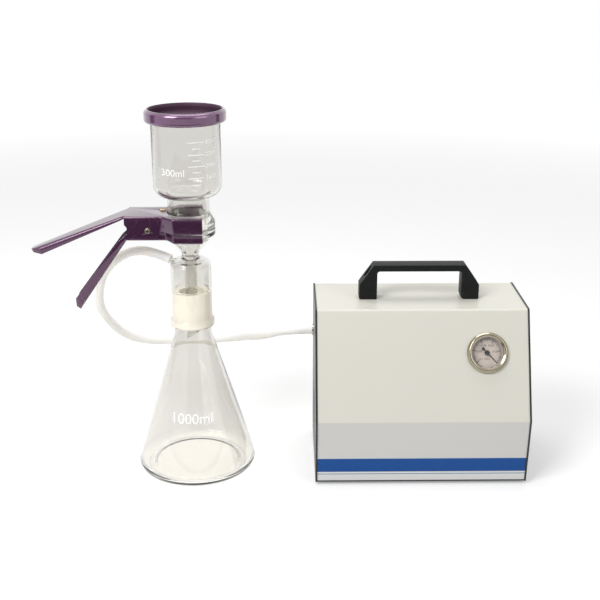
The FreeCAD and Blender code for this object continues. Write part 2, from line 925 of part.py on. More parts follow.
def make_case_cover():
    """One sheet folded over the front, the slope, the top and the back."""
    start = case_left + panel_thickness
    width = case_width - 2 * panel_thickness
    outer = case_face().extrude(Vector(width, 0, 0))
    inner = case_face().makeOffset2D(-case_sheet)
    hollow = inner.extrude(Vector(width - 2 * case_sheet, 0, 0))
    hollow.translate(Vector(case_sheet, 0, 0))
    mouth = case_face().makeOffset2D(-case_return).extrude(Vector(width, 0, 0))
    plate_room = block(-1, width + 1, -90, 110, 0, case_floor + tray_sheet)
    underside = block(
        case_sheet, width - case_sheet, case_front_bottom + case_sheet, case_back - case_sheet,
        case_floor, case_floor + tray_sheet + case_sheet,
    )
    cover = outer.cut([hollow, mouth, underside, plate_room])
    cover.translate(Vector(start, 0, 0))
    for y, z in panel_screw_places():
        cover = cover.cut(cylinder(case_screw_shank, case_width, Vector(case_left, y, z), X_AXIS))
    cover = cover.cut(on_slope(cylinder(gauge_can_radius + 0.3, 20, Vector(0, 0, -10))))
    for place in handle_bolt_places():
        cover = cover.cut(cylinder(handle_bolt_radius + 0.2, 10, place.sub(Z_AXIS * 5)))
    middle = case_left + case_width / 2
    for index in range(vent_count):
        x = middle + (index - (vent_count - 1) / 2) * vent_pitch
        slot = block(
            x - vent_width / 2, x + vent_width / 2, case_back - 5, case_back + 5,
            90, 90 + vent_length,
        )
        cover = cover.cut(slot)
    return cover


def vent_slots(x, y_middle, z_low, count, length):
    """A row of upright slots through a side panel."""
    slots = []
    for index in range(count):
        y = y_middle + (index - (count - 1) / 2) * vent_pitch
        slots.append(block(
            x - 5, x + panel_thickness + 5, y - vent_width / 2, y + vent_width / 2,
            z_low, z_low + length,
        ))
    return slots


def panel_screw_places():
    inset = case_return / 2
    return [
        (case_back - inset, case_top - inset),
        (case_front_top + inset, case_top - inset),
        (case_back - inset, case_floor + inset),
        (case_front_bottom + inset + 1, case_floor + inset),
    ]


def side_panel(x):
    face = case_face().makeOffset2D(panel_proud)
    panel = face.extrude(Vector(panel_thickness, 0, 0))
    panel.translate(Vector(x, 0, 0))
    return panel.cut(block(x - 1, x + 5, -90, 110, -5, case_floor))


def sunk_hole(x, sense):
    """Countersunk holes in a side panel whose outer face is at x; sense is its way out."""
    gap = case_screw_clearance
    holes = []
    for y, z in panel_screw_places():
        hole = turned([
            (0, -case_screw_length, 0),
            (case_screw_shank + gap, -case_screw_length, 0),
            (case_screw_shank + gap, -case_screw_sink, 0),
            (case_screw_radius + gap, 0, 0),
            (case_screw_radius + gap, 1, 0),
            (0, 1, 0),
        ])
        place = Vector(x, y, z)
        hole.Placement = FreeCAD.Placement(place, FreeCAD.Rotation(Z_AXIS, X_AXIS * sense))
        holes.append(hole)
    return holes


def make_side_panel_left():
    panel = side_panel(case_left).cut(sunk_hole(case_left, -1))
    tip = hose_points()[-1]
    panel = panel.cut(cylinder(thread_radius, 20, Vector(case_left - 8, tip.y, tip.z), X_AXIS))
    return panel.cut(vent_slots(case_left, shaft_y, 40, 7, vent_length))


def make_side_panel_right():
    x = case_left + case_width - panel_thickness
    panel = side_panel(x).cut(sunk_hole(case_right(), 1))
    panel = panel.cut(vent_slots(x, shaft_y - 28, 40, 5, vent_length))
    wide = switch_opening_width / 2 + 1.5
    tall = switch_opening_height / 2 + 1.5
    panel = panel.cut(block(
        x - 5, x + 8, switch_y - wide, switch_y + wide, switch_z - tall, switch_z + tall,
    ))
    wide = power_body_width / 2
    tall = power_body_height / 2
    panel = panel.cut(block(
        x - 5, x + 8, power_y - wide, power_y + wide, power_z - tall, power_z + tall,
    ))
    for z in power_screw_heights():
        panel = panel.cut(cylinder(1.6, 20, Vector(x - 5, power_y, z), X_AXIS))
    return panel


def tray_limits():
    """The tray's lips stand between the cover's folded lips."""
    side = panel_thickness + case_sheet + 0.1
    x0 = case_left + side
    x1 = case_left + case_width - side
    return x0, x1, case_front_bottom + case_sheet + 0.1, case_back - case_sheet - 0.1


def make_base_tray():
    x0, x1, y0, y1 = tray_limits()
    gap = running_fit
    plate = block(
        case_left + panel_thickness + gap, case_right() - panel_thickness - gap,
        case_front_bottom, case_back, case_floor, case_floor + tray_sheet - gap,
    )
    outer = block(x0, x1, y0, y1, case_floor, case_floor + tray_lip)
    inner = block(
        x0 + tray_sheet, x1 - tray_sheet, y0 + tray_sheet, y1 - tray_sheet,
        case_floor + tray_sheet, case_floor + tray_lip + 5,
    )
    tray = outer.cut(inner).fuse(plate)
    for place in foot_places().values():
        tray = tray.cut(cylinder(2.2, 10, place))
    for y, z in panel_screw_places():
        hole = cylinder(case_screw_shank + case_screw_clearance, case_width, Vector(x0 - 1, y, z), X_AXIS)
        tray = tray.cut(hole)
    for index in range(8):
        x = motor_start + index * vent_pitch
        tray = tray.cut(block(x, x + vent_width, -40, 0, 0, 10))
    return tray


def foot_places():
    x0, x1, y0, y1 = tray_limits()
    places = {}
    for side, x in (("left", x0 + foot_inset), ("right", x1 - foot_inset)):
        for end, y in (("front", y0 + foot_inset), ("back", y1 - foot_inset)):
            places["foot_" + end + "_" + side] = Vector(x, y, 0)
    return places


def make_foot(place):
    foot = turned([
        (2.2, case_floor, 0),
        (foot_radius, case_floor, 0),
        (foot_radius - 1.2, 0, 1),
        (5, 0, 0.5),
        (5, 2.0, 0),
        (2.2, 2.0, 0),
    ])
    foot.translate(place)
    return foot


def make_foot_screws():
    screws = []
    for place in foot_places().values():
        screw = turned([
            (0, 0.6, 0),
            (3.8, 0.6, 0.4),
            (3.8, 2.0, 0),
            (2.0, 2.0, 0),
            (2.0, 10.0, 0),
            (0, 10.0, 0),
        ])
        screw.translate(place)
        screws.append(screw)
    return Part.makeCompound(screws)


def make_foot_nuts():
    nuts = []
    for place in foot_places().values():
        nut = hexagon(4.2, 3.0).cut(cylinder(2.0, 5, Vector(0, 0, -1)))
        nut.translate(place.add(Z_AXIS * (case_floor + tray_sheet)))
        nuts.append(nut)
    return Part.makeCompound(nuts)


def make_panel_screws():
    screws = []
    left = case_left
    right = case_left + case_width
    for y, z in panel_screw_places():
        for x, sense in ((left, -1), (right, 1)):
            screw = turned([
                (0, -case_screw_length, 0),
                (case_screw_shank, -case_screw_length, 0),
                (case_screw_shank, -case_screw_sink, 0),
                (case_screw_radius, 0, 0),
                (0, 0, 0),
            ])
            screw.Placement = FreeCAD.Placement(
                Vector(x, y, z), FreeCAD.Rotation(Z_AXIS, X_AXIS * sense),
            )
            screws.append(screw)
    return Part.makeCompound(screws)


# ================================================================ handle

def make_handle():
    left = handle_middle - handle_length / 2
    right = handle_middle + handle_length / 2
    top = case_top + handle_rise
    handle = prism([
        (left, case_top, 1.5),
        (left, case_top + handle_shoulder, 3),
        (left + handle_slant, top, 2),
        (right - handle_slant, top, 2),
        (right, case_top + handle_shoulder, 3),
        (right, case_top, 1.5),
        (right - handle_leg, case_top, 4),
        (right - handle_leg, top - handle_bar, 3),
        (left + handle_leg, top - handle_bar, 3),
        (left + handle_leg, case_top, 1.5),
    ], in_xz, Vector(0, handle_depth, 0))
    handle.translate(Vector(0, handle_front, 0))
    for place in handle_bolt_places():
        handle = handle.cut(cylinder(handle_bolt_radius + 0.2, 60, place.sub(Z_AXIS)))
        seat = place.add(Z_AXIS * handle_seat)
        handle = handle.cut(cylinder(handle_bolt_head + 0.3, 60, seat))
    return handle


def make_handle_bolts():
    bolts = []
    for place in handle_bolt_places():
        seat = place.add(Z_AXIS * handle_seat)
        head = cylinder(handle_bolt_head, 5.0, seat)
        socket = hexagon(2.4, 4.0)
        socket.translate(seat.add(Z_AXIS * 2.4))
        shank = cylinder(handle_bolt_radius, handle_seat + 8, place.sub(Z_AXIS * 8))
        bolts.append(head.cut(socket).fuse(shank))
    return Part.makeCompound(bolts)


def make_handle_nuts():
    nuts = []
    for place in handle_bolt_places():
        nut = hexagon(4.8, 4.0).cut(cylinder(handle_bolt_radius, 6, Vector(0, 0, -1)))
        nut.translate(place.sub(Z_AXIS * (case_sheet + 4.0)))
        nuts.append(nut)
    return Part.makeCompound(nuts)


# ================================================================ vacuum gauge

def make_gauge_can():
    """The gauge's case behind the panel, with its threaded stem."""
    inner = gauge_can_radius - gauge_can_wall
    can = turned([
        (0, -gauge_can_depth, 0),
        (gauge_can_radius, -gauge_can_depth, 2),
        (gauge_can_radius, 2.2, 0),
        (inner, 2.2, 0),
        (inner, -8.0, 0),
        (0, -8.0, 0),
    ])
    can = can.cut(cylinder(arbor_radius + running_fit, 8, Vector(0, 0, -14)))
    hexed = hexagon(stem_hex_radius, 5.0)
    hexed.translate(Vector(0, 0, -gauge_can_depth - 5))
    stem = cylinder(tube_nipple_radius, stem_length, Vector(0, 0, -gauge_can_depth - stem_length))
    bore = cylinder(tube_nipple_radius - 1, stem_length + 9, Vector(0, 0, -gauge_can_depth - stem_length))
    return on_slope(can.fuse([hexed, stem]).cut(bore).removeSplitter())


def make_gauge_bezel():
    return on_slope(turned([
        (gauge_can_radius + 0.05, 0, 0),
        (bezel_radius, 0, 0.4),
        (bezel_radius, bezel_height / 2, 2),
        (0.5 * (bezel_radius + bezel_opening), bezel_height, 1.6),
        (bezel_opening, bezel_height - 1.6, 0.4),
        (bezel_opening, bezel_height / 2, 0),
        (gauge_can_radius + 0.05, bezel_height / 2, 0),
    ]))


def make_gauge_lens():
    radius = gauge_can_radius - gauge_can_wall - 0.1
    top = bezel_height / 2 - 0.05
    return on_slope(cylinder(radius, lens_thickness, Vector(0, 0, top - lens_thickness)))


def make_gauge_dial():
    dial = cylinder(dial_radius, dial_thickness, Vector(0, 0, -4.5))
    return on_slope(dial.cut(cylinder(arbor_radius + 0.4, 4, Vector(0, 0, -6))))


def make_gauge_pointer():
    """Needle, counterweight, hub and arbor in one piece, turning on the gauge's axis."""
    needle = prism([
        (-pointer_tail, -1.6, 0.4),
        (-pointer_tail + 2.4, -1.6, 0.3),
        (-pointer_tail + 3.4, -0.6, 0),
        (0, -0.7, 0),
        (pointer_length, -0.25, 0),
        (pointer_length, 0.25, 0),
        (0, 0.7, 0),
        (-pointer_tail + 3.4, 0.6, 0),
        (-pointer_tail + 2.4, 1.6, 0.3),
        (-pointer_tail, 1.6, 0.4),
    ], in_xy, Vector(0, 0, pointer_thickness))
    needle.translate(Vector(0, 0, -2.9))
    hub = cylinder(pointer_hub, 1.2, Vector(0, 0, -3.1))
    arbor = cylinder(arbor_radius, 7.0, Vector(0, 0, -10.0))
    pointer = needle.fuse([hub, arbor]).removeSplitter()
    pointer.rotate(ORIGIN, Z_AXIS, pointer_angle)
    return on_slope(pointer)


def make_gauge_bridge():
    """The strap that pulls the gauge against the panel from behind."""
    strap = block(-26, 26, -10, 10, -gauge_can_depth - 1.5, -gauge_can_depth)
    for side in (-1, 1):
        near = 24.5 * side
        far = 26 * side
        low = min(near, far)
        leg = block(low, low + 1.5, -10, 10, -gauge_can_depth - 1.5, -case_sheet)
        strap = strap.fuse(leg)
    clearance = cylinder(stem_hex_radius, 20, Vector(0, 0, -gauge_can_depth - 10))
    return on_slope(strap.cut(clearance).removeSplitter())


# ================================================================ switch and power inlet

def case_right():
    return case_left + case_width


def make_switch_housing():
    x = case_right()
    wide = switch_opening_width / 2
    tall = switch_opening_height / 2
    rim = block(x, x + 1.8, switch_y - wide - switch_rim, switch_y + wide + switch_rim,
                switch_z - tall - switch_rim, switch_z + tall + switch_rim)
    edges = [edge for edge in rim.Edges if edge.BoundBox.XMin > x + 1]
    rim = rim.makeFillet(1.0, edges)
    body = block(x - switch_depth, x, switch_y - wide - 1.4, switch_y + wide + 1.4,
                 switch_z - tall - 1.4, switch_z + tall + 1.4)
    well = block(x - switch_depth + 3, x + 5, switch_y - wide, switch_y + wide,
                 switch_z - tall, switch_z + tall)
    housing = rim.fuse(body).cut(well)
    trunnion = cylinder(1.2 + running_fit, 2 * wide + 2.4,
                        Vector(x - 4, switch_y - wide - 1.2, switch_z), Y_AXIS)
    return housing.cut(trunnion).removeSplitter()


def make_switch_rocker():
    """A rocker on two trunnions, resting with its upper end out."""
    half = switch_opening_height / 2 - 1.6
    depth = switch_opening_width - 2 * rocker_gap
    rocker = prism([
        (-6, -half + 2, 1),
        (3.6, -half, 0.8),
        (2.0, 0, 12),
        (3.6, half, 0.8),
        (-6, half - 2, 1),
    ], in_xz, Vector(0, depth, 0))
    rocker.translate(Vector(0, -depth / 2, 0))
    trunnion = cylinder(1.2, switch_opening_width + 2, Vector(-4, -switch_opening_width / 2 - 1, 0), Y_AXIS)
    rocker = rocker.fuse(trunnion)
    rocker.rotate(Vector(-4, 0, 0), Y_AXIS, rocker_swing)
    rocker.translate(Vector(case_right(), switch_y, switch_z))
    return rocker.removeSplitter()


def make_power_inlet():
    """Recessed three-pin appliance inlet on a flange with two screws."""
    x = case_right()
    wide = power_flange_width / 2
    tall = power_flange_height / 2
    flange = prism([
        (power_y - wide, power_z - tall, 7),
        (power_y + wide, power_z - tall, 7),
        (power_y + wide, power_z + tall, 7),
        (power_y - wide, power_z + tall, 7),
    ], in_yz, Vector(2.0, 0, 0))
    flange.translate(Vector(x, 0, 0))
    wide = power_body_width / 2
    tall = power_body_height / 2
    body = block(x - 16, x + 1, power_y - wide, power_y + wide, power_z - tall, power_z + tall)
    wide = power_recess_width / 2
    tall = power_recess_height / 2
    recess = prism([
        (power_y - wide, power_z - tall, 0.5),
        (power_y + wide - 4.2, power_z - tall, 0.5),
        (power_y + wide, power_z - tall + 4.2, 0.5),
        (power_y + wide, power_z + tall - 4.2, 0.5),
        (power_y + wide - 4.2, power_z + tall, 0.5),
        (power_y - wide, power_z + tall, 0.5),
    ], in_yz, Vector(20, 0, 0))
    recess.translate(Vector(x - 13.5, 0, 0))
    inlet = flange.fuse(body).cut(recess)
    for z in power_screw_heights():
        inlet = inlet.cut(cylinder(1.8, 6, Vector(x - 2, power_y, z), X_AXIS))
    for y, z in power_pin_places():
        inlet = inlet.cut(block(x - 20, x, y - 1.9, y + 1.9, z - 0.9, z + 0.9))
    return inlet.removeSplitter()


def power_screw_heights():
    return [power_z - power_screw_spacing / 2, power_z + power_screw_spacing / 2]


def power_pin_places():
    half = power_pin_spacing / 2
    return [(power_y - 3, power_z - half), (power_y + 2, power_z), (power_y - 3, power_z + half)]


def make_inlet_pins():
    x = case_right() - 20
    pins = []
    for y, z in power_pin_places():
        pins.append(block(x, x + 17, y - 1.9, y + 1.9, z - 0.9, z + 0.9))
    return Part.makeCompound(pins)


def make_inlet_screws():
    screws = []
    for z in power_screw_heights():
        screw = turned([
            (0, -4.9, 0),
            (1.6, -4.9, 0),
            (1.6, 0, 0),
            (3.0, 0, 0),
            (3.0, 1.3, 0.8),
            (0, 1.3, 0),
        ])
        place = Vector(case_right() + 2.0, power_y, z)
        screw.Placement = FreeCAD.Placement(place, FreeCAD.Rotation(Z_AXIS, X_AXIS))
        screws.append(screw)
    return Part.makeCompound(screws)


# ================================================================ motor and diaphragm head

def shaft_point(x):
    return Vector(x, shaft_y, shaft_z)


def make_motor():
    """Closed motor can with end bells, bored for its shaft."""
    bore = shaft_radius + 0.3
    end = motor_length
    motor = turned([
        (bearing_radius, 0, 0),
        (14, 0, 1),
        (16, 6, 1),
        (motor_radius - 2, 8, 3),
        (motor_radius - 2, 20, 1),
        (motor_radius, 21, 0.5),
        (motor_radius, end - 21, 0.5),
        (motor_radius - 2, end - 20, 1),
        (motor_radius - 2, end - 8, 3),
        (16, end - 6, 1),
        (14, end, 1),
        (bearing_radius, end, 0),
        (bearing_radius, end - bearing_width, 0),
        (bore, end - bearing_width, 0),
        (bore, bearing_width, 0),
        (bearing_radius, bearing_width, 0),
    ])
    motor.Placement = FreeCAD.Placement(shaft_point(motor_start), FreeCAD.Rotation(Z_AXIS, X_AXIS))
    return motor


def make_motor_bearings():
    bearings = []
    for x in (motor_start, motor_start + motor_length - bearing_width):
        ring = cylinder(bearing_radius, bearing_width, shaft_point(x), X_AXIS)
        bore = cylinder(shaft_radius + running_fit, bearing_width + 2, shaft_point(x - 1), X_AXIS)
        bearings.append(ring.cut(bore))
    return Part.makeCompound(bearings)


def make_motor_shaft():
    start = crankcase_start + crankcase_wall + 2
    length = fan_start + fan_width + 4 - start
    return cylinder(shaft_radius, length, shaft_point(start), X_AXIS)


def make_cooling_fan():
    hub = cylinder(11, fan_width, ORIGIN)
    blades = []
    for index in range(fan_blades):
        blade = block(9, fan_radius, -0.8, 0.8, 1, fan_width - 1)
        blade.rotate(Vector(0, 0, fan_width / 2), X_AXIS, 35)
        blade.rotate(ORIGIN, Z_AXIS, index * 360.0 / fan_blades)
        blades.append(blade)
    fan = hub.fuse(blades).cut(cylinder(shaft_radius, fan_width + 2, Vector(0, 0, -1)))
    fan.Placement = FreeCAD.Placement(shaft_point(fan_start), FreeCAD.Rotation(Z_AXIS, X_AXIS))
    return fan


def rod_middle_x():
    return crankcase_start + crankcase_width / 2


def make_eccentric():
    x = rod_middle_x() - eccentric_width / 2
    disc = cylinder(eccentric_radius, eccentric_width, shaft_point(x).add(Z_AXIS * eccentric_throw), X_AXIS)
    return disc.cut(cylinder(shaft_radius, eccentric_width + 2, shaft_point(x - 1), X_AXIS))


def make_crankcase():
    """Cast box round the crank, with a bearing boss and a round top for the diaphragm."""
    x0 = crankcase_start
    x1 = x0 + crankcase_width
    low = crankcase_bottom
    box = block(x0, x1, shaft_y - crankcase_half, shaft_y + crankcase_half, low, crankcase_top - 6)
    upright = [edge for edge in box.Edges if edge.BoundBox.ZLength > 10]
    box = box.makeFillet(5, upright)
    middle = Vector(rod_middle_x(), shaft_y, 0)
    ring = cylinder(diaphragm_radius + 4, 8, middle.add(Z_AXIS * (crankcase_top - 8)))
    boss = cylinder(14, motor_start - x1, shaft_point(x1), X_AXIS)
    case = box.fuse([ring, boss])
    room = block(x0 + crankcase_wall, x1 - crankcase_wall, shaft_y - crankcase_half + crankcase_wall,
                 shaft_y + crankcase_half - crankcase_wall, low + crankcase_wall, crankcase_top - 10)
    throat = cylinder(14.5, 14, middle.add(Z_AXIS * (crankcase_top - 12)))
    shaft_hole = cylinder(shaft_radius + 0.3, 60, shaft_point(x1 - 8), X_AXIS)
    case = case.cut([room, throat, shaft_hole])
    for place in head_bolt_places():
        case = case.cut(cylinder(head_bolt_radius, 20, place.sub(Z_AXIS * 9)))
    return case.removeSplitter()


def make_connecting_rod():
    """Rod whose eye clears the eccentric all round, with a disc under the diaphragm."""
    x = rod_middle_x()
    inner = eccentric_radius + rod_eye_gap
    outer = inner + rod_eye_wall
    eye = cylinder(outer, rod_width, shaft_point(x - rod_width / 2), X_AXIS)
    stem = block(x - rod_width / 2, x + rod_width / 2, shaft_y - 5, shaft_y + 5,
                 shaft_z + inner + 1, crankcase_top - 3)
    disc = cylinder(11, 3.0, Vector(x, shaft_y, crankcase_top - 3))
    bore = cylinder(inner, rod_width + 2, shaft_point(x - rod_width / 2 - 1), X_AXIS)
    return eye.fuse([stem, disc]).cut(bore).removeSplitter()


def make_diaphragm():
    base = Vector(rod_middle_x(), shaft_y, crankcase_top)
    disc = cylinder(diaphragm_radius + 2, diaphragm_thickness, base)
    return bolted(disc)


def bolted(shape):
    """Clearance holes for the four long bolts of the head."""
    for place in head_bolt_places():
        shape = shape.cut(cylinder(head_bolt_radius + 0.1, 60, place.sub(Z_AXIS * 20)))
    return shape.removeSplitter()


def make_diaphragm_washer():
    base = Vector(rod_middle_x(), shaft_y, crankcase_top + diaphragm_thickness)
    washer = turned([
        (0, 0, 0),
        (11, 0, 0),
        (11, 1.6, 0.8),
        (4, 1.6, 0),
        (3, 3.2, 0.5),
        (0, 3.2, 0),
    ])
    washer.translate(base)
    return washer


def head_base():
    return crankcase_top + diaphragm_thickness


def head_joint():
    return head_base() + valve_plate_height


def port_places():
    left = Vector(rod_middle_x() - port_offset, shaft_y, head_joint())
    right = Vector(rod_middle_x() + port_offset, shaft_y, head_joint())
    return [left, right]


def make_valve_plate():
    middle = Vector(rod_middle_x(), shaft_y, head_base())
    plate = cylinder(diaphragm_radius + 4, valve_plate_height, middle)
    plate = plate.cut(cylinder(head_chamber_radius, head_chamber_depth, middle))
    for place in port_places():
        plate = plate.cut(cylinder(port_radius, 20, place.sub(Z_AXIS * 10)))
    return bolted(plate)


def make_valve_discs():
    discs = [cylinder(valve_radius, valve_thickness, place) for place in port_places()]
    return Part.makeCompound(discs)


def make_pump_head():
    """Cover over the valves, with a nipple for the tube on its left side."""
    middle = Vector(rod_middle_x(), shaft_y, head_joint())
    head = cylinder(diaphragm_radius + 4, head_height, middle)
    rim = [edge for edge in head.Edges if abs(edge.BoundBox.ZMin - head_joint() - head_height) < 1e-6]
    head = head.makeFillet(1.5, rim)
    tip = head_nipple_tip()
    nipple = cylinder(tube_nipple_radius, nipple_length + 4, tip, X_AXIS)
    head = head.fuse(nipple)
    for place in port_places():
        head = head.cut(cylinder(valve_radius + 0.1, 7.0, place))
    left, right = port_places()
    inlet = cylinder(tube_nipple_radius - 1, left.x - tip.x, tip, X_AXIS)
    outlet = cylinder(silencer_thread_radius, 40, Vector(right.x + 10, right.y, tip.z), X_AXIS)
    passage = cylinder(tube_nipple_radius, 12, Vector(right.x, right.y, tip.z), X_AXIS)
    return bolted(head.cut([inlet, outlet, passage]))


def head_nipple_tip():
    x = rod_middle_x() - diaphragm_radius - 4 - nipple_length
    return Vector(x, shaft_y, head_joint() + 4.5)


def head_bolt_places():
    places = []
    for index in range(4):
        angle = math.radians(45 + 90 * index)
        x = rod_middle_x() + head_bolt_circle * math.cos(angle)
        y = shaft_y + head_bolt_circle * math.sin(angle)
        places.append(Vector(x, y, crankcase_top))
    return places


def make_head_bolts():
    bolts = []
    top = head_joint() + head_height
    for place in head_bolt_places():
        head = cylinder(3.5, 4.0, Vector(place.x, place.y, top))
        socket = hexagon(1.9, 4.0)
        socket.translate(Vector(place.x, place.y, top + 2.0))
        low = crankcase_top - 7
        shank = cylinder(head_bolt_radius, top - low, Vector(place.x, place.y, low))
        bolts.append(head.cut(socket).fuse(shank))
    return Part.makeCompound(bolts)


def make_silencer():
    """Small exhaust silencer screwed into the head's right side."""
    silencer = turned([
        (0, 0, 0),
        (silencer_thread_radius, 0, 0),
        (silencer_thread_radius, 10, 0),
        (7.0, 10, 0.5),
        (7.0, 30, 2),
        (0, 30, 0),
    ])
    start = Vector(rod_middle_x() + diaphragm_radius + 4 - 10, shaft_y, head_nipple_tip().z)
    silencer.Placement = FreeCAD.Placement(start, FreeCAD.Rotation(Z_AXIS, X_AXIS))
    return silencer


def make_motor_cradle():
    """Plate with upright ribs that carries the crankcase and beds the motor."""
    x0 = crankcase_start - 2
    x1 = motor_start + motor_length + 2
    half = crankcase_half + 6
    top = case_floor + tray_sheet + 14
    plate = block(x0, x1, shaft_y - half, shaft_y + half, top - 2, top)
    ribs = []
    for x in (crankcase_start, crankcase_start + crankcase_width - 6):
        ribs.append(block(x, x + 6, shaft_y - 26, shaft_y + 26, top, crankcase_bottom))
    for x in (motor_start + 24, motor_start + motor_length - 30):
        ribs.append(block(x, x + 6, shaft_y - 30, shaft_y + 30, top, shaft_z - 20))
    bed = cylinder(motor_radius + running_fit, motor_length, shaft_point(motor_start), X_AXIS)
    return plate.fuse(ribs).cut(bed).removeSplitter()


def make_vibration_mounts():
    x0 = crankcase_start + 8
    x1 = motor_start + motor_length - 8
    low = case_floor + tray_sheet
    mounts = []
    for x in (x0, x1):
        for y in (shaft_y - crankcase_half + 2, shaft_y + crankcase_half - 2):
            mount = turned([(0, 0, 0), (7, 0, 0.5), (5.5, 6, 2), (7, 12, 0.5), (0, 12, 0)])
            mount.translate(Vector(x, y, low))
            mounts.append(mount)
    return Part.makeCompound(mounts)


def soft_tube(points):
    """A soft tube whose ends are pushed over hard nipples."""
    return tube_along(points, tube_radius, tube_nipple_radius)[0]


def make_vacuum_tube():
    """From the inlet's manifold to the head."""
    start = manifold_end()
    end = head_nipple_tip().add(X_AXIS * (nipple_length - 1))
    return soft_tube([
        start,
        start.add(X_AXIS * 16),
        Vector(start.x + 8, 48, barb_height + 18),
        Vector(end.x - 26, 28, barb_height + 14),
        end.sub(X_AXIS * 24),
        end,
    ])


def make_gauge_tube():
    """From the manifold's upper nipple along the top of the case to the gauge."""
    start = manifold_top()
    high = case_top - tube_headroom
    back = slope_frame().Rotation.multVec(Vector(0, 0, -1))
    stem_end = slope_frame().multVec(Vector(0, 0, -gauge_can_depth - stem_length))
    end = stem_end.sub(back * 8)
    return soft_tube([
        start,
        start.add(Z_AXIS * 15),
        Vector(start.x + 22, 68, high),
        Vector(start.x + 70, 70, high),
        Vector(gauge_x - 44.8, 68, high - 8),
        Vector(gauge_x - 16, 62, high - 30),
        end.add(back * 34).add(Vector(0, 6, 2)),
        end.add(back * 22),
        end,
    ])


def make_capacitor():
    can = turned([(0, 0, 0), (14, 0, 2), (14, 60, 2), (5, 60, 0), (5, 63, 0), (0, 63, 0)])
    can.translate(Vector(crankcase_start - 20, shaft_y - 12, case_floor + tray_sheet))
    return can


# ================================================================ writing the parts

def build_all():
    parts = {
        "flask": make_flask(),
        "flask_joint": make_flask_joint(),
        "filter_base": make_filter_base(),
        "frit_disc": make_frit_disc(),
        "membrane_filter": make_membrane_filter(),
        "funnel": make_funnel(),
        "funnel_bowl": make_funnel_bowl(),
        "funnel_stem": make_funnel_stem(),
        "lid": make_lid(),
        "upper_jaw": make_upper_jaw(),
        "lower_jaw": make_lower_jaw(),
        "pivot_pin": make_pivot_pin(),
        "clamp_spring": make_clamp_spring(),
        "hose": make_hose(),
        "inlet_barb": make_inlet_barb(),
        "barb_nut": make_barb_nut(),
        "case_cover": make_case_cover(),
        "side_panel_left": make_side_panel_left(),
        "side_panel_right": make_side_panel_right(),
        "base_tray": make_base_tray(),
        "foot_screws": make_foot_screws(),
        "foot_nuts": make_foot_nuts(),
        "panel_screws": make_panel_screws(),
        "handle": make_handle(),
        "handle_bolts": make_handle_bolts(),
        "handle_nuts": make_handle_nuts(),
        "gauge_can": make_gauge_can(),
        "gauge_bezel": make_gauge_bezel(),
        "gauge_lens": make_gauge_lens(),
        "gauge_dial": make_gauge_dial(),
        "gauge_pointer": make_gauge_pointer(),
        "gauge_bridge": make_gauge_bridge(),
        "switch_housing": make_switch_housing(),
        "switch_rocker": make_switch_rocker(),
        "power_inlet": make_power_inlet(),
        "inlet_pins": make_inlet_pins(),
        "inlet_screws": make_inlet_screws(),
        "motor": make_motor(),
        "motor_bearings": make_motor_bearings(),
        "motor_shaft": make_motor_shaft(),
        "cooling_fan": make_cooling_fan(),
        "eccentric": make_eccentric(),
        "crankcase": make_crankcase(),
        "connecting_rod": make_connecting_rod(),
        "diaphragm": make_diaphragm(),
        "diaphragm_washer": make_diaphragm_washer(),
        "valve_plate": make_valve_plate(),
        "valve_discs": make_valve_discs(),
        "pump_head": make_pump_head(),
        "head_bolts": make_head_bolts(),
        "motor_cradle": make_motor_cradle(),
        "vibration_mounts": make_vibration_mounts(),
        "vacuum_tube": make_vacuum_tube(),
        "gauge_tube": make_gauge_tube(),
        "exhaust_silencer": make_silencer(),
        "motor_capacitor": make_capacitor(),
    }
    for name, place in foot_places().items():
        parts[name] = make_foot(place)
    return parts


os.makedirs("parts", exist_ok=True)
for node, shape in build_all().items():
    shape.exportStep(os.path.join("parts", node + ".step"))
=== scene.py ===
import bpy
import bmesh
import json
import math

from mathutils import Matrix, Vector


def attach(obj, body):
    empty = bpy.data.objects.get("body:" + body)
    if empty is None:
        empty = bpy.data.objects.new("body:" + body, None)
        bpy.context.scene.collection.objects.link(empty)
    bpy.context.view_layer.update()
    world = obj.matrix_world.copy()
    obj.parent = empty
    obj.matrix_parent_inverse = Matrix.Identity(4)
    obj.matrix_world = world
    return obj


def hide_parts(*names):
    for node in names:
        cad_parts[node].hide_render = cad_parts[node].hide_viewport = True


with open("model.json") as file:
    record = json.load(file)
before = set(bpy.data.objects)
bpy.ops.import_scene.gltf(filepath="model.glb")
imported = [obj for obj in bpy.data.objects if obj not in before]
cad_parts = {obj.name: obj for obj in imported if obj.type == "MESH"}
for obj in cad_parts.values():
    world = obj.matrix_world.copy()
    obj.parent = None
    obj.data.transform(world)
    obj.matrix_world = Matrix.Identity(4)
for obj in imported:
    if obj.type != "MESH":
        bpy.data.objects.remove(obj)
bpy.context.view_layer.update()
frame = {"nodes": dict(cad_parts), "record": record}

MM = 0.001
WELD = 0.000002                 # doubles nearer than this are merged, m
NEARLY_STRAIGHT = 89.5          # half the angle of a corner that takes no rounding, degrees


# ================================================================ camera

FOCAL_LENGTH = 60.6             # mm, on a sensor 36 mm wide
CAMERA_PLACE = (0.10723, -1.05325, 0.57681)
CAMERA_DIP = 19.702             # degrees below level
CAMERA_SWING = -0.665           # degrees round the upright axis


def place_camera():
    """Puts the camera where the photo was taken from."""
    lens = bpy.data.cameras.new("studio_lens")
    lens.sensor_width = 36.0
    lens.lens = FOCAL_LENGTH
    lens.clip_start = 0.02
    lens.clip_end = 60.0
    camera = bpy.data.objects.new("studio_camera", lens)
    camera.location = CAMERA_PLACE
    camera.rotation_euler = (math.radians(90 - CAMERA_DIP), 0, math.radians(CAMERA_SWING))
    bpy.context.collection.objects.link(camera)
    bpy.context.scene.camera = camera


place_camera()


# ================================================================ modelling aids

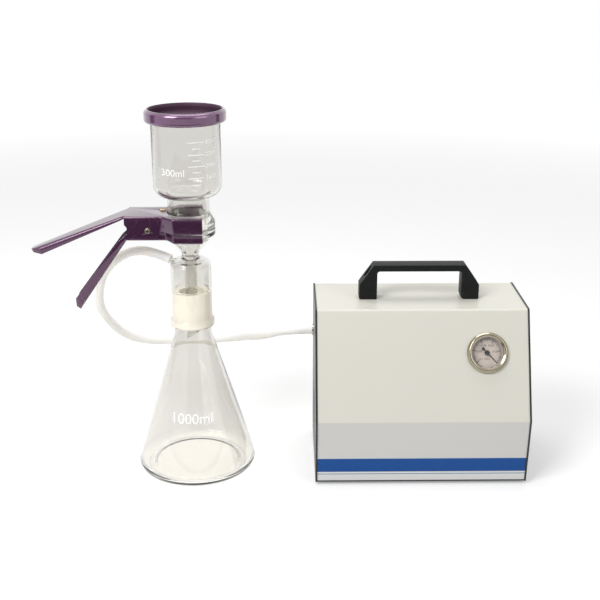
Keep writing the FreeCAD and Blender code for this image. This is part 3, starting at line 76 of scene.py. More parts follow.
def deselect_all():
    """Leaves edit mode and clears the selection."""
    if bpy.context.object and bpy.context.object.mode != "OBJECT":
        bpy.ops.object.mode_set(mode="OBJECT")
    bpy.ops.object.select_all(action="DESELECT")


def take(piece):
    """Makes a piece the only one selected, and the active one."""
    deselect_all()
    bpy.context.view_layer.objects.active = piece
    piece.select_set(True)


def apply_modifiers(piece):
    take(piece)
    for modifier in list(piece.modifiers):
        bpy.ops.object.modifier_apply(modifier=modifier.name)


def settle(piece):
    """Puts a piece's place, turn and scale into its mesh."""
    take(piece)
    bpy.ops.object.transform_apply(location=True, rotation=True, scale=True)


def smooth(piece, angle=35):
    take(piece)
    bpy.ops.object.shade_smooth_by_angle(angle=math.radians(angle))


def tidy_shell(piece):
    """Merges doubles and turns every face outwards."""
    take(piece)
    bpy.ops.object.mode_set(mode="EDIT")
    bpy.ops.mesh.select_all(action="SELECT")
    bpy.ops.mesh.remove_doubles(threshold=0.00001)
    bpy.ops.mesh.normals_make_consistent(inside=False)
    bpy.ops.object.mode_set(mode="OBJECT")


def rounded_profile(corners, steps=6):
    """Points along a closed profile of (radius, height, fillet), in metres."""
    points = []
    count = len(corners)
    for index, (a, b, radius) in enumerate(corners):
        here = Vector((a, b))
        before = (Vector(corners[index - 1][:2]) - here).normalized()
        after = (Vector(corners[(index + 1) % count][:2]) - here).normalized()
        half = before.angle(after) / 2
        if radius == 0 or half > math.radians(NEARLY_STRAIGHT):
            points.append(here * MM)
            continue
        reach = radius / math.tan(half)
        bisector = (before + after).normalized()
        centre = here + bisector * (radius / math.sin(half))
        entry = here + before * reach - centre
        leave = here + after * reach - centre
        turn = entry.angle_signed(leave)
        for step in range(steps + 1):
            arm = entry.copy()
            arm.rotate(Matrix.Rotation(-turn * step / steps, 2))
            points.append((centre + arm) * MM)
    return points


def lathe(name, corners, turns=128, steps=6):
    """Extrudes a profile from one vertex and spins it round the upright axis.

    A profile that starts and ends on the axis stays open there, and its poles close.
    """
    points = rounded_profile(corners, steps)
    on_axis = corners[0][0] == 0 and corners[-1][0] == 0
    deselect_all()
    bpy.ops.mesh.primitive_plane_add(size=0.001, location=(0, 0, 0))
    piece = bpy.context.object
    piece.name = name
    bpy.ops.object.mode_set(mode="EDIT")
    bpy.ops.mesh.select_all(action="SELECT")
    bpy.ops.mesh.merge(type="CENTER")
    here = Vector((points[0].x, 0, points[0].y))
    bpy.ops.transform.translate(value=here)
    for point in points[1:] + ([] if on_axis else points[:1]):
        there = Vector((point.x, 0, point.y))
        bpy.ops.mesh.extrude_region_move(TRANSFORM_OT_translate={"value": there - here})
        here = there
    bpy.ops.mesh.select_all(action="SELECT")
    bpy.ops.mesh.remove_doubles(threshold=WELD)
    bpy.ops.mesh.select_all(action="SELECT")
    bpy.ops.mesh.spin(steps=turns, angle=2 * math.pi, center=(0, 0, 0), axis=(0, 0, 1))
    bpy.ops.mesh.select_all(action="SELECT")
    bpy.ops.mesh.remove_doubles(threshold=WELD)
    bpy.ops.mesh.normals_make_consistent(inside=False)
    bpy.ops.object.mode_set(mode="OBJECT")
    return piece


def dressed_copy(node, bevel):
    """A merged copy of a solid with its sharp edges broken."""
    source = frame["nodes"][node]
    piece = source.copy()
    piece.data = source.data.copy()
    piece.name = node + "_finish"
    bpy.context.collection.objects.link(piece)
    piece.parent = None
    mesh = bmesh.new()
    mesh.from_mesh(piece.data)
    bmesh.ops.remove_doubles(mesh, verts=mesh.verts, dist=WELD)
    bmesh.ops.dissolve_limit(mesh, angle_limit=math.radians(0.5), verts=mesh.verts,
                             edges=mesh.edges)
    mesh.to_mesh(piece.data)
    mesh.free()
    edge_break = piece.modifiers.new("edge_break", "BEVEL")
    edge_break.width = bevel
    edge_break.segments = 3
    edge_break.limit_method = "ANGLE"
    edge_break.angle_limit = math.radians(35)
    edge_break.miter_outer = "MITER_ARC"
    apply_modifiers(piece)
    smooth(piece)
    return piece


# ================================================================ hose

HOSE_RADIUS = 0.005
HOSE_WALL = 0.002

# Control points (x, y, z) in millimetres, from the side arm round the back to the pump's inlet.
HOSE_ROUTE = [
    (-21.94, 3.25, 246.59),
    (-44.10, 11.32, 254.25),
    (-71.8, 23.7, 250.1),
    (-103.9, 40.6, 222.2),
    (-114.5, 50.9, 180.9),
    (-107.5, 66.0, 153.1),
    (-90.0, 86.1, 124.0),
    (-60.5, 100.0, 111.4),
    (-25.2, 107.1, 110.7),
    (14.2, 105.0, 111.4),
    (53.5, 92.0, 120.3),
    (74.3, 70.7, 129.2),
    (103.4, 60.0, 141.0),
    (134.0, 60.0, 141.0),
]


def make_hose():
    """A soft tube along the route, open at both ends, and the points of its middle line."""
    curve = bpy.data.curves.new("silicone_hose", "CURVE")
    curve.dimensions = "3D"
    spline = curve.splines.new("NURBS")
    spline.points.add(len(HOSE_ROUTE) - 1)
    for point, place in zip(spline.points, HOSE_ROUTE):
        point.co = (place[0] * MM, place[1] * MM, place[2] * MM, 1)
    spline.order_u = 3
    spline.use_endpoint_u = True
    spline.resolution_u = 12
    tube = bpy.data.objects.new("silicone_hose", curve)
    bpy.context.collection.objects.link(tube)
    line = bpy.data.meshes.new_from_object(tube)
    path = [tuple(vertex.co) for vertex in line.vertices]
    bpy.data.meshes.remove(line)
    curve.bevel_depth = HOSE_RADIUS
    curve.bevel_resolution = 8
    take(tube)
    bpy.ops.object.convert(target="MESH")
    tube = bpy.context.object
    wall = tube.modifiers.new("wall", "SOLIDIFY")
    wall.thickness = HOSE_WALL
    wall.offset = -1
    apply_modifiers(tube)
    smooth(tube, 50)
    return tube, path


hose, hose_line = make_hose()
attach(hose, "unit")
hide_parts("hose")


# ================================================================ shader groups

def new_group(name, inputs, outputs):
    """An empty shader group with its sockets, and its two end nodes."""
    group = bpy.data.node_groups.new(name, "ShaderNodeTree")
    for label, kind, value in inputs:
        socket = group.interface.new_socket(name=label, in_out="INPUT", socket_type=kind)
        socket.default_value = value
    for label, kind in outputs:
        group.interface.new_socket(name=label, in_out="OUTPUT", socket_type=kind)
    return group, group.nodes.new("NodeGroupInput"), group.nodes.new("NodeGroupOutput")


def add_node(tree, kind, **values):
    """Adds a node and sets its own settings, or else its inputs, by name."""
    node = tree.nodes.new(kind)
    for name, value in values.items():
        if hasattr(node, name):
            setattr(node, name, value)
        else:
            node.inputs[name.replace("_", " ")].default_value = value
    return node


def make_grain_group():
    """Fine height, colour shift and roughness shift for moulded, painted or rubber skins."""
    group, entry, leave = new_group("skin_grain", [
        ("Vector", "NodeSocketVector", (0, 0, 0)),
        ("Base", "NodeSocketColor", (0.5, 0.5, 0.5, 1)),
        ("Grain Size", "NodeSocketFloat", 900.0),
        ("Patch Size", "NodeSocketFloat", 25.0),
        ("Colour Shift", "NodeSocketFloat", 0.06),
        ("Roughness", "NodeSocketFloat", 0.4),
        ("Roughness Shift", "NodeSocketFloat", 0.1),
    ], [
        ("Color", "NodeSocketColor"),
        ("Roughness", "NodeSocketFloat"),
        ("Height", "NodeSocketFloat"),
    ])
    link = group.links.new
    grain = add_node(group, "ShaderNodeTexNoise")
    grain.inputs["Detail"].default_value = 3
    patch = add_node(group, "ShaderNodeTexNoise")
    patch.inputs["Detail"].default_value = 4
    link(entry.outputs["Vector"], grain.inputs["Vector"])
    link(entry.outputs["Vector"], patch.inputs["Vector"])
    link(entry.outputs["Grain Size"], grain.inputs["Scale"])
    link(entry.outputs["Patch Size"], patch.inputs["Scale"])
    centred = add_node(group, "ShaderNodeMath", operation="SUBTRACT")
    centred.inputs[1].default_value = 0.5
    link(patch.outputs["Fac"], centred.inputs[0])
    shade = add_node(group, "ShaderNodeMath", operation="MULTIPLY")
    link(centred.outputs[0], shade.inputs[0])
    link(entry.outputs["Colour Shift"], shade.inputs[1])
    lift = add_node(group, "ShaderNodeMath", operation="ADD")
    lift.inputs[1].default_value = 1.0
    link(shade.outputs[0], lift.inputs[0])
    tint = add_node(group, "ShaderNodeHueSaturation")
    link(entry.outputs["Base"], tint.inputs["Color"])
    link(lift.outputs[0], tint.inputs["Value"])
    link(tint.outputs["Color"], leave.inputs["Color"])
    rough = add_node(group, "ShaderNodeMath", operation="MULTIPLY_ADD")
    link(centred.outputs[0], rough.inputs[0])
    link(entry.outputs["Roughness Shift"], rough.inputs[1])
    link(entry.outputs["Roughness"], rough.inputs[2])
    link(rough.outputs[0], leave.inputs["Roughness"])
    link(grain.outputs["Fac"], leave.inputs["Height"])
    return group


def make_scuff_group():
    """Thin random scratches, as a mask, for handled metal."""
    group, entry, leave = new_group("fine_scuffs", [
        ("Vector", "NodeSocketVector", (0, 0, 0)),
        ("Spacing", "NodeSocketFloat", 60.0),
        ("Fineness", "NodeSocketFloat", 0.04),
        ("Amount", "NodeSocketFloat", 0.5),
    ], [("Mask", "NodeSocketFloat")])
    link = group.links.new
    warp = add_node(group, "ShaderNodeTexNoise")
    warp.inputs["Scale"].default_value = 18.0
    blend = add_node(group, "ShaderNodeMix", data_type="VECTOR")
    blend.inputs["Factor"].default_value = 0.12
    link(entry.outputs["Vector"], warp.inputs["Vector"])
    link(entry.outputs["Vector"], blend.inputs[4])
    link(warp.outputs["Color"], blend.inputs[5])
    cells = add_node(group, "ShaderNodeTexVoronoi", feature="DISTANCE_TO_EDGE")
    link(blend.outputs[1], cells.inputs["Vector"])
    link(entry.outputs["Spacing"], cells.inputs["Scale"])
    edge = add_node(group, "ShaderNodeMath", operation="LESS_THAN")
    link(cells.outputs["Distance"], edge.inputs[0])
    link(entry.outputs["Fineness"], edge.inputs[1])
    fade = add_node(group, "ShaderNodeTexNoise")
    fade.inputs["Scale"].default_value = 45.0
    link(entry.outputs["Vector"], fade.inputs["Vector"])
    gate = add_node(group, "ShaderNodeMapRange")
    gate.inputs["From Min"].default_value = 0.52
    gate.inputs["From Max"].default_value = 0.68
    link(fade.outputs["Fac"], gate.inputs["Value"])
    product = add_node(group, "ShaderNodeMath", operation="MULTIPLY")
    link(edge.outputs[0], product.inputs[0])
    link(gate.outputs[0], product.inputs[1])
    amount = add_node(group, "ShaderNodeMath", operation="MULTIPLY")
    link(product.outputs[0], amount.inputs[0])
    link(entry.outputs["Amount"], amount.inputs[1])
    link(amount.outputs[0], leave.inputs["Mask"])
    return group


def make_band_group():
    """A mask of 1 between two heights, with soft edges, and 0 outside."""
    group, entry, leave = new_group("height_band", [
        ("Vector", "NodeSocketVector", (0, 0, 0)),
        ("Low", "NodeSocketFloat", 0.0),
        ("High", "NodeSocketFloat", 1.0),
        ("Softness", "NodeSocketFloat", 0.0002),
    ], [("Mask", "NodeSocketFloat")])
    link = group.links.new
    split = add_node(group, "ShaderNodeSeparateXYZ")
    link(entry.outputs["Vector"], split.inputs[0])
    sides = []
    height = split.outputs["Z"]
    for upper, lower in ((height, entry.outputs["Low"]), (entry.outputs["High"], height)):
        gap = add_node(group, "ShaderNodeMath", operation="SUBTRACT")
        link(upper, gap.inputs[0])
        link(lower, gap.inputs[1])
        ramp = add_node(group, "ShaderNodeMath", operation="DIVIDE", use_clamp=True)
        link(gap.outputs[0], ramp.inputs[0])
        link(entry.outputs["Softness"], ramp.inputs[1])
        sides.append(ramp)
    product = add_node(group, "ShaderNodeMath", operation="MULTIPLY")
    link(sides[0].outputs[0], product.inputs[0])
    link(sides[1].outputs[0], product.inputs[1])
    link(product.outputs[0], leave.inputs["Mask"])
    return group


SKIN_GRAIN = make_grain_group()
FINE_SCUFFS = make_scuff_group()
HEIGHT_BAND = make_band_group()


# ================================================================ materials

class Finish:
    """A material with its Principled shader, its place coordinates and its groups."""

    def __init__(self, name):
        self.material = bpy.data.materials.new(name)
        self.material.use_nodes = True
        self.tree = self.material.node_tree
        self.shader = self.tree.nodes["Principled BSDF"]
        self.output = self.tree.nodes["Material Output"]
        self.place = add_node(self.tree, "ShaderNodeTexCoord").outputs["Object"]

    def link(self, start, end):
        self.tree.links.new(start, end)

    def group(self, group, **values):
        node = self.tree.nodes.new("ShaderNodeGroup")
        node.node_tree = group
        self.link(self.place, node.inputs["Vector"])
        for label, value in values.items():
            node.inputs[label.replace("_", " ")].default_value = value
        return node

    def mix(self, mask, first, second):
        node = add_node(self.tree, "ShaderNodeMix", data_type="RGBA")
        self.link(mask, node.inputs["Factor"])
        for value, socket in ((first, node.inputs[6]), (second, node.inputs[7])):
            if isinstance(value, tuple):
                socket.default_value = value
            else:
                self.link(value, socket)
        return node.outputs[2]

    def bump(self, height, strength, distance):
        node = add_node(self.tree, "ShaderNodeBump")
        node.inputs["Strength"].default_value = strength
        node.inputs["Distance"].default_value = distance
        self.link(height, node.inputs["Height"])
        self.link(node.outputs["Normal"], self.shader.inputs["Normal"])

    def set(self, **values):
        for label, value in values.items():
            self.shader.inputs[label.replace("_", " ")].default_value = value
        return self


def skin(name, color, roughness, metallic=0.0, grain=900.0, patch=25.0, shift=0.08,
         rough_shift=0.12, bump=0.15, depth=0.00005, coat=0.0, scuffs=0.0):
    """A solid finish with grain, patchy colour and, where asked, fine scratches."""
    finish = Finish(name)
    grained = finish.group(SKIN_GRAIN, Base=color, Grain_Size=grain, Patch_Size=patch,
                           Colour_Shift=shift, Roughness=roughness, Roughness_Shift=rough_shift)
    finish.set(Metallic=metallic)
    finish.link(grained.outputs["Roughness"], finish.shader.inputs["Roughness"])
    shown = grained.outputs["Color"]
    if scuffs:
        marks = finish.group(FINE_SCUFFS, Amount=scuffs)
        paler = tuple(min(1.0, part * 1.6 + 0.08) for part in color[:3]) + (1,)
        shown = finish.mix(marks.outputs["Mask"], shown, paler)
    finish.link(shown, finish.shader.inputs["Base Color"])
    finish.bump(grained.outputs["Height"], bump, depth)
    if coat:
        finish.set(Coat_Weight=coat, Coat_Roughness=0.05)
    return finish


GLASS_SHADOW = (0.89, 0.89, 0.88, 1)


def glass(name, color, film=0.02):
    """Clear glass, with a faint uneven film, that lets most of the light through its shadow."""
    finish = Finish(name)
    finish.set(Base_Color=color, Metallic=0.0, Transmission_Weight=1.0, IOR=1.47)
    smear = add_node(finish.tree, "ShaderNodeTexNoise")
    smear.inputs["Scale"].default_value = 35.0
    smear.inputs["Detail"].default_value = 4.0
    finish.link(finish.place, smear.inputs["Vector"])
    spread = add_node(finish.tree, "ShaderNodeMapRange")
    spread.inputs["From Min"].default_value = 0.45
    spread.inputs["From Max"].default_value = 0.75
    spread.inputs["To Min"].default_value = 0.0
    spread.inputs["To Max"].default_value = film
    finish.link(smear.outputs["Fac"], spread.inputs["Value"])
    finish.link(spread.outputs[0], finish.shader.inputs["Roughness"])
    finish.bump(smear.outputs["Fac"], 0.05, 0.0002)
    clear_shadow(finish, GLASS_SHADOW)
    return finish


def clear_shadow(finish, tint):
    """Shadow rays pass straight through, and take the tint."""
    rays = add_node(finish.tree, "ShaderNodeLightPath")
    window = add_node(finish.tree, "ShaderNodeBsdfTransparent")
    window.inputs["Color"].default_value = tint
    blend = add_node(finish.tree, "ShaderNodeMixShader")
    finish.link(rays.outputs["Is Shadow Ray"], blend.inputs[0])
    finish.link(finish.shader.outputs[0], blend.inputs[1])
    finish.link(window.outputs[0], blend.inputs[2])
    finish.link(blend.outputs[0], finish.output.inputs["Surface"])


def clear_glass():
    return glass("clear_borosilicate", (0.838, 0.827, 0.800, 1)).material


def gauge_window():
    return glass("gauge_window", (0.97, 0.97, 0.97, 1), film=0.01).material


def ground_film():
    """The milky look of two ground surfaces that lie against each other, with a faint painted glow.
    """
    finish = Finish("ground_joint")
    grained = finish.group(SKIN_GRAIN, Base=(0.84, 0.80, 0.715, 1), Grain_Size=1400.0,
                           Patch_Size=60.0, Colour_Shift=0.10, Roughness=0.75, Roughness_Shift=0.1)
    # Painted light: a faint warm glow that brightens the joint where it lies in shade.
    finish.set(Metallic=0.0, Transmission_Weight=0.0,
               Emission_Color=(1.0, 0.95, 0.80, 1), Emission_Strength=0.05)
    finish.link(grained.outputs["Color"], finish.shader.inputs["Base Color"])
    finish.link(grained.outputs["Roughness"], finish.shader.inputs["Roughness"])
    veil = add_node(finish.tree, "ShaderNodeMapRange")
    veil.inputs["From Min"].default_value = 0.3
    veil.inputs["From Max"].default_value = 0.7
    veil.inputs["To Min"].default_value = 0.80
    veil.inputs["To Max"].default_value = 0.93
    finish.link(grained.outputs["Height"], veil.inputs["Value"])
    finish.link(veil.outputs[0], finish.shader.inputs["Alpha"])
    finish.bump(grained.outputs["Height"], 0.2, 0.00005)
    return finish.material


def lacquered_sheet():
    """Dark purple dyed sheet under a hard clear lacquer, a little scuffed."""
    finish = skin("purple_sheet", (0.080, 0.020, 0.070, 1), 0.26, metallic=0.55, grain=1200.0,
                  patch=30.0, shift=0.18, rough_shift=0.12, bump=0.05, depth=0.00002, scuffs=0.3)
    finish.set(Coat_Weight=1.0, Coat_Roughness=0.02, Coat_IOR=1.5)
    return finish.material


DISH_EDGE = (0.0385, 0.0392)    # from the lid's axis, where its dish gives way to the rim
DISH_ROUGHNESS = 0.45           # added inside the dish


def spun_lid():
    """The lid's bright dyed rim, with the floor of its dish darkened by painted shade."""
    finish = Finish("purple_lid")
    grained = finish.group(SKIN_GRAIN, Base=(0.175, 0.070, 0.165, 1), Grain_Size=1200.0,
                           Patch_Size=30.0, Colour_Shift=0.15, Roughness=0.22,
                           Roughness_Shift=0.12)
    flat = add_node(finish.tree, "ShaderNodeVectorMath", operation="MULTIPLY")
    flat.inputs[1].default_value = (1, 1, 0)
    finish.link(finish.place, flat.inputs[0])
    reach = add_node(finish.tree, "ShaderNodeVectorMath", operation="LENGTH")
    finish.link(flat.outputs[0], reach.inputs[0])
    dish = add_node(finish.tree, "ShaderNodeMapRange")
    dish.inputs["From Min"].default_value = DISH_EDGE[0]
    dish.inputs["From Max"].default_value = DISH_EDGE[1]
    finish.link(reach.outputs["Value"], dish.inputs["Value"])
    # Painted shade: the dark colour inside the dish stands for the shade that falls in the lid's
    # hollow.
    shown = finish.mix(dish.outputs[0], (0.058, 0.022, 0.050, 1), grained.outputs["Color"])
    finish.link(shown, finish.shader.inputs["Base Color"])
    dull = add_node(finish.tree, "ShaderNodeMath", operation="MULTIPLY_ADD", use_clamp=True)
    dull.inputs[1].default_value = -DISH_ROUGHNESS
    dull.inputs[2].default_value = DISH_ROUGHNESS
    finish.link(dish.outputs[0], dull.inputs[0])
    rough = add_node(finish.tree, "ShaderNodeMath", operation="ADD", use_clamp=True)
    finish.link(dull.outputs[0], rough.inputs[0])
    finish.link(grained.outputs["Roughness"], rough.inputs[1])
    finish.link(rough.outputs[0], finish.shader.inputs["Roughness"])
    finish.link(dish.outputs[0], finish.shader.inputs["Coat Weight"])
    finish.set(Metallic=0.35, Coat_Roughness=0.03, Coat_IOR=1.6)
    finish.bump(grained.outputs["Height"], 0.06, 0.00003)
    return finish.material


FRONT_PLANE = -0.0565           # what lies in front of this is the case's front

# Foot, head and colour of each band on the front; a later one covers an earlier one.
FRONT_BANDS = [
    # A pale, more neutral grey band over the lower front, up to the foot of the slope.
    (0.0344, 0.0790, (0.827, 0.814, 0.785, 1)),
    (0.0040, 0.0168, (0.93, 0.93, 0.91, 1)),
    (0.0168, 0.0340, (0.0, 0.082, 0.35, 1)),
    (0.0340, 0.0347, (0.60, 0.76, 0.88, 1)),
    (0.0135, 0.0147, (0.10, 0.28, 0.50, 1)),
]


def enamel(name, color, roughness=0.34):
    return skin(name, color, roughness, grain=420.0, patch=9.0, shift=0.035, rough_shift=0.10,
                bump=0.10, depth=0.00012, coat=0.12).material


def case_enamel():
    """Cream-white enamel, with a pale neutral grey band over the lower front, and white and blue
    bands printed along its foot.
    """
    finish = Finish("white_case_enamel")
    grained = finish.group(SKIN_GRAIN, Base=(0.80, 0.785, 0.70, 1), Grain_Size=420.0,
                           Patch_Size=8.0, Colour_Shift=0.03, Roughness=0.34, Roughness_Shift=0.1)
    split = add_node(finish.tree, "ShaderNodeSeparateXYZ")
    finish.link(finish.place, split.inputs[0])
    front = add_node(finish.tree, "ShaderNodeMath", operation="LESS_THAN")
    front.inputs[1].default_value = FRONT_PLANE
    finish.link(split.outputs["Y"], front.inputs[0])
    printed = grained.outputs["Color"]
    for low, high, ink in FRONT_BANDS:
        band = finish.group(HEIGHT_BAND, Low=low, High=high, Softness=0.0003)
        product = add_node(finish.tree, "ShaderNodeMath", operation="MULTIPLY")
        finish.link(band.outputs["Mask"], product.inputs[0])
        finish.link(front.outputs[0], product.inputs[1])
        printed = finish.mix(product.outputs[0], printed, ink)
    finish.link(printed, finish.shader.inputs["Base Color"])
    finish.link(grained.outputs["Roughness"], finish.shader.inputs["Roughness"])
    finish.set(Metallic=0.0, Coat_Weight=0.08, Coat_Roughness=0.06, Specular_IOR_Level=0.3)
    finish.bump(grained.outputs["Height"], 0.10, 0.00012)
    return finish.material


def silicone():
    """Milky silicone rubber that lets light in a little way, with a faint painted glow that lifts
    its shaded side.
    """
    finish = Finish("silicone_rubber")
    grained = finish.group(SKIN_GRAIN, Base=(0.96, 0.95, 0.91, 1), Grain_Size=700.0,
                           Patch_Size=40.0, Colour_Shift=0.06, Roughness=0.38, Roughness_Shift=0.12)
    finish.link(grained.outputs["Color"], finish.shader.inputs["Base Color"])
    finish.link(grained.outputs["Roughness"], finish.shader.inputs["Roughness"])
    finish.set(Metallic=0.0, Subsurface_Weight=0.6, Subsurface_Scale=0.006, IOR=1.41)
    # Painted light: the emission makes the hose glow faintly, though it is no lamp.
    finish.set(Subsurface_Radius=(1.0, 0.9, 0.7), Emission_Color=(1.0, 0.98, 0.92, 1),
               Emission_Strength=0.22)
    finish.bump(grained.outputs["Height"], 0.12, 0.00006)
    return finish.material


def print_ink(name, color):
    return skin(name, color, 0.5, grain=1500.0, patch=90.0, shift=0.12, bump=0.05,
                depth=0.00002).material


def white_ink():
    """Fired white enamel, with a painted glow that keeps it bright against clear glass."""
    finish = skin("white_ink", (0.95, 0.95, 0.94, 1), 0.5, grain=1500.0, patch=90.0, shift=0.04,
                  bump=0.05, depth=0.00002)
    # Painted light: a faint glow from the print itself, which is no lamp.
    finish.set(Emission_Color=(1, 1, 1, 1), Emission_Strength=0.25)
    return finish.material


FINISHES = {
    "clear_glass": clear_glass(),
    "sintered_glass": skin("sintered_glass", (0.86, 0.86, 0.83, 1), 0.85, grain=1600.0,
                           patch=200.0, shift=0.15, bump=0.5, depth=0.0001).material,
    "filter_membrane": skin("filter_membrane", (0.90, 0.90, 0.88, 1), 0.8, grain=1800.0,
                            patch=150.0, shift=0.04, bump=0.2).material,
    "purple_cap": spun_lid(),
    "purple_sheet": lacquered_sheet(),
    "bright_steel": skin("bright_steel", (0.36, 0.32, 0.24, 1), 0.16, metallic=1.0, grain=900.0,
                         patch=60.0, shift=0.08, rough_shift=0.1, bump=0.05, scuffs=0.2).material,
    "spring_wire": skin("spring_wire", (0.60, 0.46, 0.24, 1), 0.3, metallic=1.0, grain=1500.0,
                        patch=90.0, shift=0.2, bump=0.1).material,
    "silicone_hose": silicone(),
    "plated_brass": skin("plated_brass", (0.66, 0.65, 0.62, 1), 0.25, metallic=1.0,
                         patch=90.0, shift=0.15).material,
    "white_enamel": case_enamel(),
    "black_enamel": enamel("black_enamel", (0.008, 0.009, 0.010, 1), 0.42),
    "zinc_sheet": skin("zinc_sheet", (0.50, 0.51, 0.52, 1), 0.42, metallic=1.0, grain=300.0,
                       patch=70.0, shift=0.3, rough_shift=0.25).material,
    "foot_rubber": skin("foot_rubber", (0.022, 0.022, 0.023, 1), 0.72, grain=1500.0,
                        patch=60.0, shift=0.25, bump=0.35).material,
    "black_screw": skin("black_screw", (0.035, 0.034, 0.034, 1), 0.36, metallic=0.8,
                        patch=150.0, shift=0.3, scuffs=0.4).material,
    "handle_plastic": skin("handle_plastic", (0.007, 0.008, 0.008, 1), 0.50, grain=1700.0,
                           patch=45.0, shift=0.3, bump=0.4, depth=0.00006,
                           scuffs=0.12).set(Specular_IOR_Level=0.22).material,
    "gauge_black": enamel("gauge_black", (0.02, 0.02, 0.02, 1)),
    "gauge_glass": gauge_window(),
    "dial_face": skin("dial_face", (0.42, 0.36, 0.32, 1), 0.5, grain=900.0, patch=60.0,
                      shift=0.05).material,
    "pointer_black": enamel("pointer_black", (0.012, 0.010, 0.010, 1), 0.4),
    "switch_plastic": skin("switch_plastic", (0.022, 0.022, 0.023, 1), 0.5, grain=1600.0,
                           patch=60.0, shift=0.2, bump=0.3).material,
    "rocker_plastic": skin("rocker_plastic", (0.025, 0.025, 0.027, 1), 0.22, grain=1200.0,
                           patch=60.0, shift=0.2).material,
    "contact_brass": skin("contact_brass", (0.66, 0.50, 0.24, 1), 0.28, metallic=1.0,
                          patch=200.0, shift=0.15).material,
    "motor_steel": enamel("motor_grey", (0.11, 0.12, 0.13, 1)),
    "ground_steel": skin("ground_steel", (0.56, 0.56, 0.56, 1), 0.3, metallic=1.0,
                         patch=120.0, shift=0.1).material,
    "fan_plastic": skin("fan_plastic", (0.04, 0.04, 0.04, 1), 0.5, bump=0.3).material,
    "cast_aluminium": skin("cast_aluminium", (0.55, 0.56, 0.57, 1), 0.5, metallic=0.9,
                           grain=500.0, patch=50.0, shift=0.15, bump=0.4, depth=0.0001).material,
    "black_rubber": skin("black_rubber", (0.03, 0.03, 0.03, 1), 0.7, bump=0.3).material,
    "sintered_bronze": skin("sintered_bronze", (0.42, 0.28, 0.12, 1), 0.6, metallic=0.8,
                            grain=1500.0, bump=0.6, depth=0.0001).material,
    "capacitor_can": skin("capacitor_can", (0.66, 0.67, 0.68, 1), 0.35, metallic=1.0,
                          patch=50.0, shift=0.1).material,
}
GROUND_FILM = ground_film()
WHITE_INK = white_ink()
DIAL_INK = print_ink("dial_ink", (0.02, 0.018, 0.017, 1))


def dress(piece, material):
    piece.data.materials.clear()
    piece.data.materials.append(material)


def dress_nodes():
    """Gives each solid of the model the finish of its material slot."""
    for entry in frame["record"]["subparts"]:
        piece = frame["nodes"][entry["node"]]
        material = FINISHES[entry["material_slot"]]
        for slot in piece.material_slots:
            slot.material = material


dress_nodes()
hose.data.materials.append(FINISHES["silicone_hose"])


# ================================================================ pieces with broken edges

def broken_edges(node, body, slot, bevel):
    piece = dressed_copy(node, bevel)
    dress(piece, FINISHES[slot])
    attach(piece, body)
    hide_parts(node)
    return piece


broken_edges("handle", "unit", "handle_plastic", 0.0009)
broken_edges("upper_jaw", "upper_jaw", "purple_sheet", 0.0003)
broken_edges("lower_jaw", "lower_jaw", "purple_sheet", 0.0003)


# ================================================================ blown glass

# Profiles of (radius, height, fillet) in millimetres.
FLASK_GLASS = [
    (0, 2.0, 0),
    (46.3, 2.0, 2),
    (50.3, 0, 2),
    (70.305, 0, 10),
    (21.2, 161.0, 14),
    (20.55, 170.0, 1),
    (18.6, 211.0, 1),
    (14.0, 211.0, 1.5),
    (14.0, 175.7, 18),
    (66.37, 6.0, 6),
    (46.3, 6.0, 0),
    (0, 6.0, 0),
]

FUNNEL_GLASS = [
    (19.5, 284.3, 0.5),
    (28.0, 284.3, 0.8),
    (28.0, 291.0, 3),
    (22.5, 300.5, 3),
    (22.5, 318.7, 3),
    (36.5, 320.3, 13),
    (36.5, 401.0, 1),
    (34.0, 401.0, 1),
    (34.0, 322.9, 10.5),
    (19.5, 320.9, 4),
]


def blown(name, profile, nodes):
    """Seamless glass over solids that the model keeps apart at their seam."""
    piece = lathe(name, profile, turns=160, steps=10)
    dress(piece, FINISHES["clear_glass"])
    smooth(piece, 30)
    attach(piece, "unit")
    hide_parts(*nodes)
    return piece


flask_glass = blown("flask_glass", FLASK_GLASS, ("flask", "flask_joint"))
funnel_glass = blown("funnel_glass", FUNNEL_GLASS, ("funnel", "funnel_bowl", "funnel_stem"))


# ================================================================ ground joint

def make_ground_film():
    """A thin milky layer in the socket's wall, over the neck's rim and down its bore; down the
    clear bore it is a pale lining, painted light over the neck's shaded inside.
    """
    piece = lathe("ground_joint_film", [
        (20.65, 172.6, 0),
        (20.69, 172.6, 0),
        (18.775, 210.9, 0),
        (18.70, 211.10, 0),
        (13.92, 211.10, 0),
        # Painted light: from here down to 180 mm, a pale lining in the clear bore hides the shade
        # inside the neck.
        (13.92, 180.0, 0),
        (13.97, 180.0, 0),
        (13.97, 211.04, 0),
        (18.68, 211.04, 0),
        (18.735, 210.85, 0),
    ], turns=160)
    dress(piece, GROUND_FILM)
    smooth(piece, 60)
    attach(piece, "unit")
    return piece


make_ground_film()


# ================================================================ marks on the glass

IN_FRONT = -0.2                 # y of the flat marks, before they are wrapped on
BAR_HALF = 0.45                 # half the height of a volume mark, mm
BAR_CUTS = 8
FONT_SIZE = 1.38                # for capitals 1 high
MARK_LAYER = 0.00012            # thickness of the fired enamel
MARK_LIFT = 0.0001              # of its middle over the glass


def bar(x0, x1, z):
    """A flat upright mark, cut across so that it can follow a round wall."""
    deselect_all()
    z0, z1 = z - BAR_HALF, z + BAR_HALF
    middle = ((x0 + x1) / 2 * MM, IN_FRONT, (z0 + z1) / 2 * MM)
    bpy.ops.mesh.primitive_plane_add(size=1, location=middle, rotation=(math.pi / 2, 0, 0))
    piece = bpy.context.object
    bpy.ops.object.mode_set(mode="EDIT")
    bpy.ops.mesh.select_all(action="SELECT")
    bpy.ops.transform.resize(value=((x1 - x0) * MM, 1, (z1 - z0) * MM))
    bpy.ops.mesh.subdivide(number_cuts=BAR_CUTS)
    bpy.ops.object.mode_set(mode="OBJECT")
    settle(piece)
    return piece


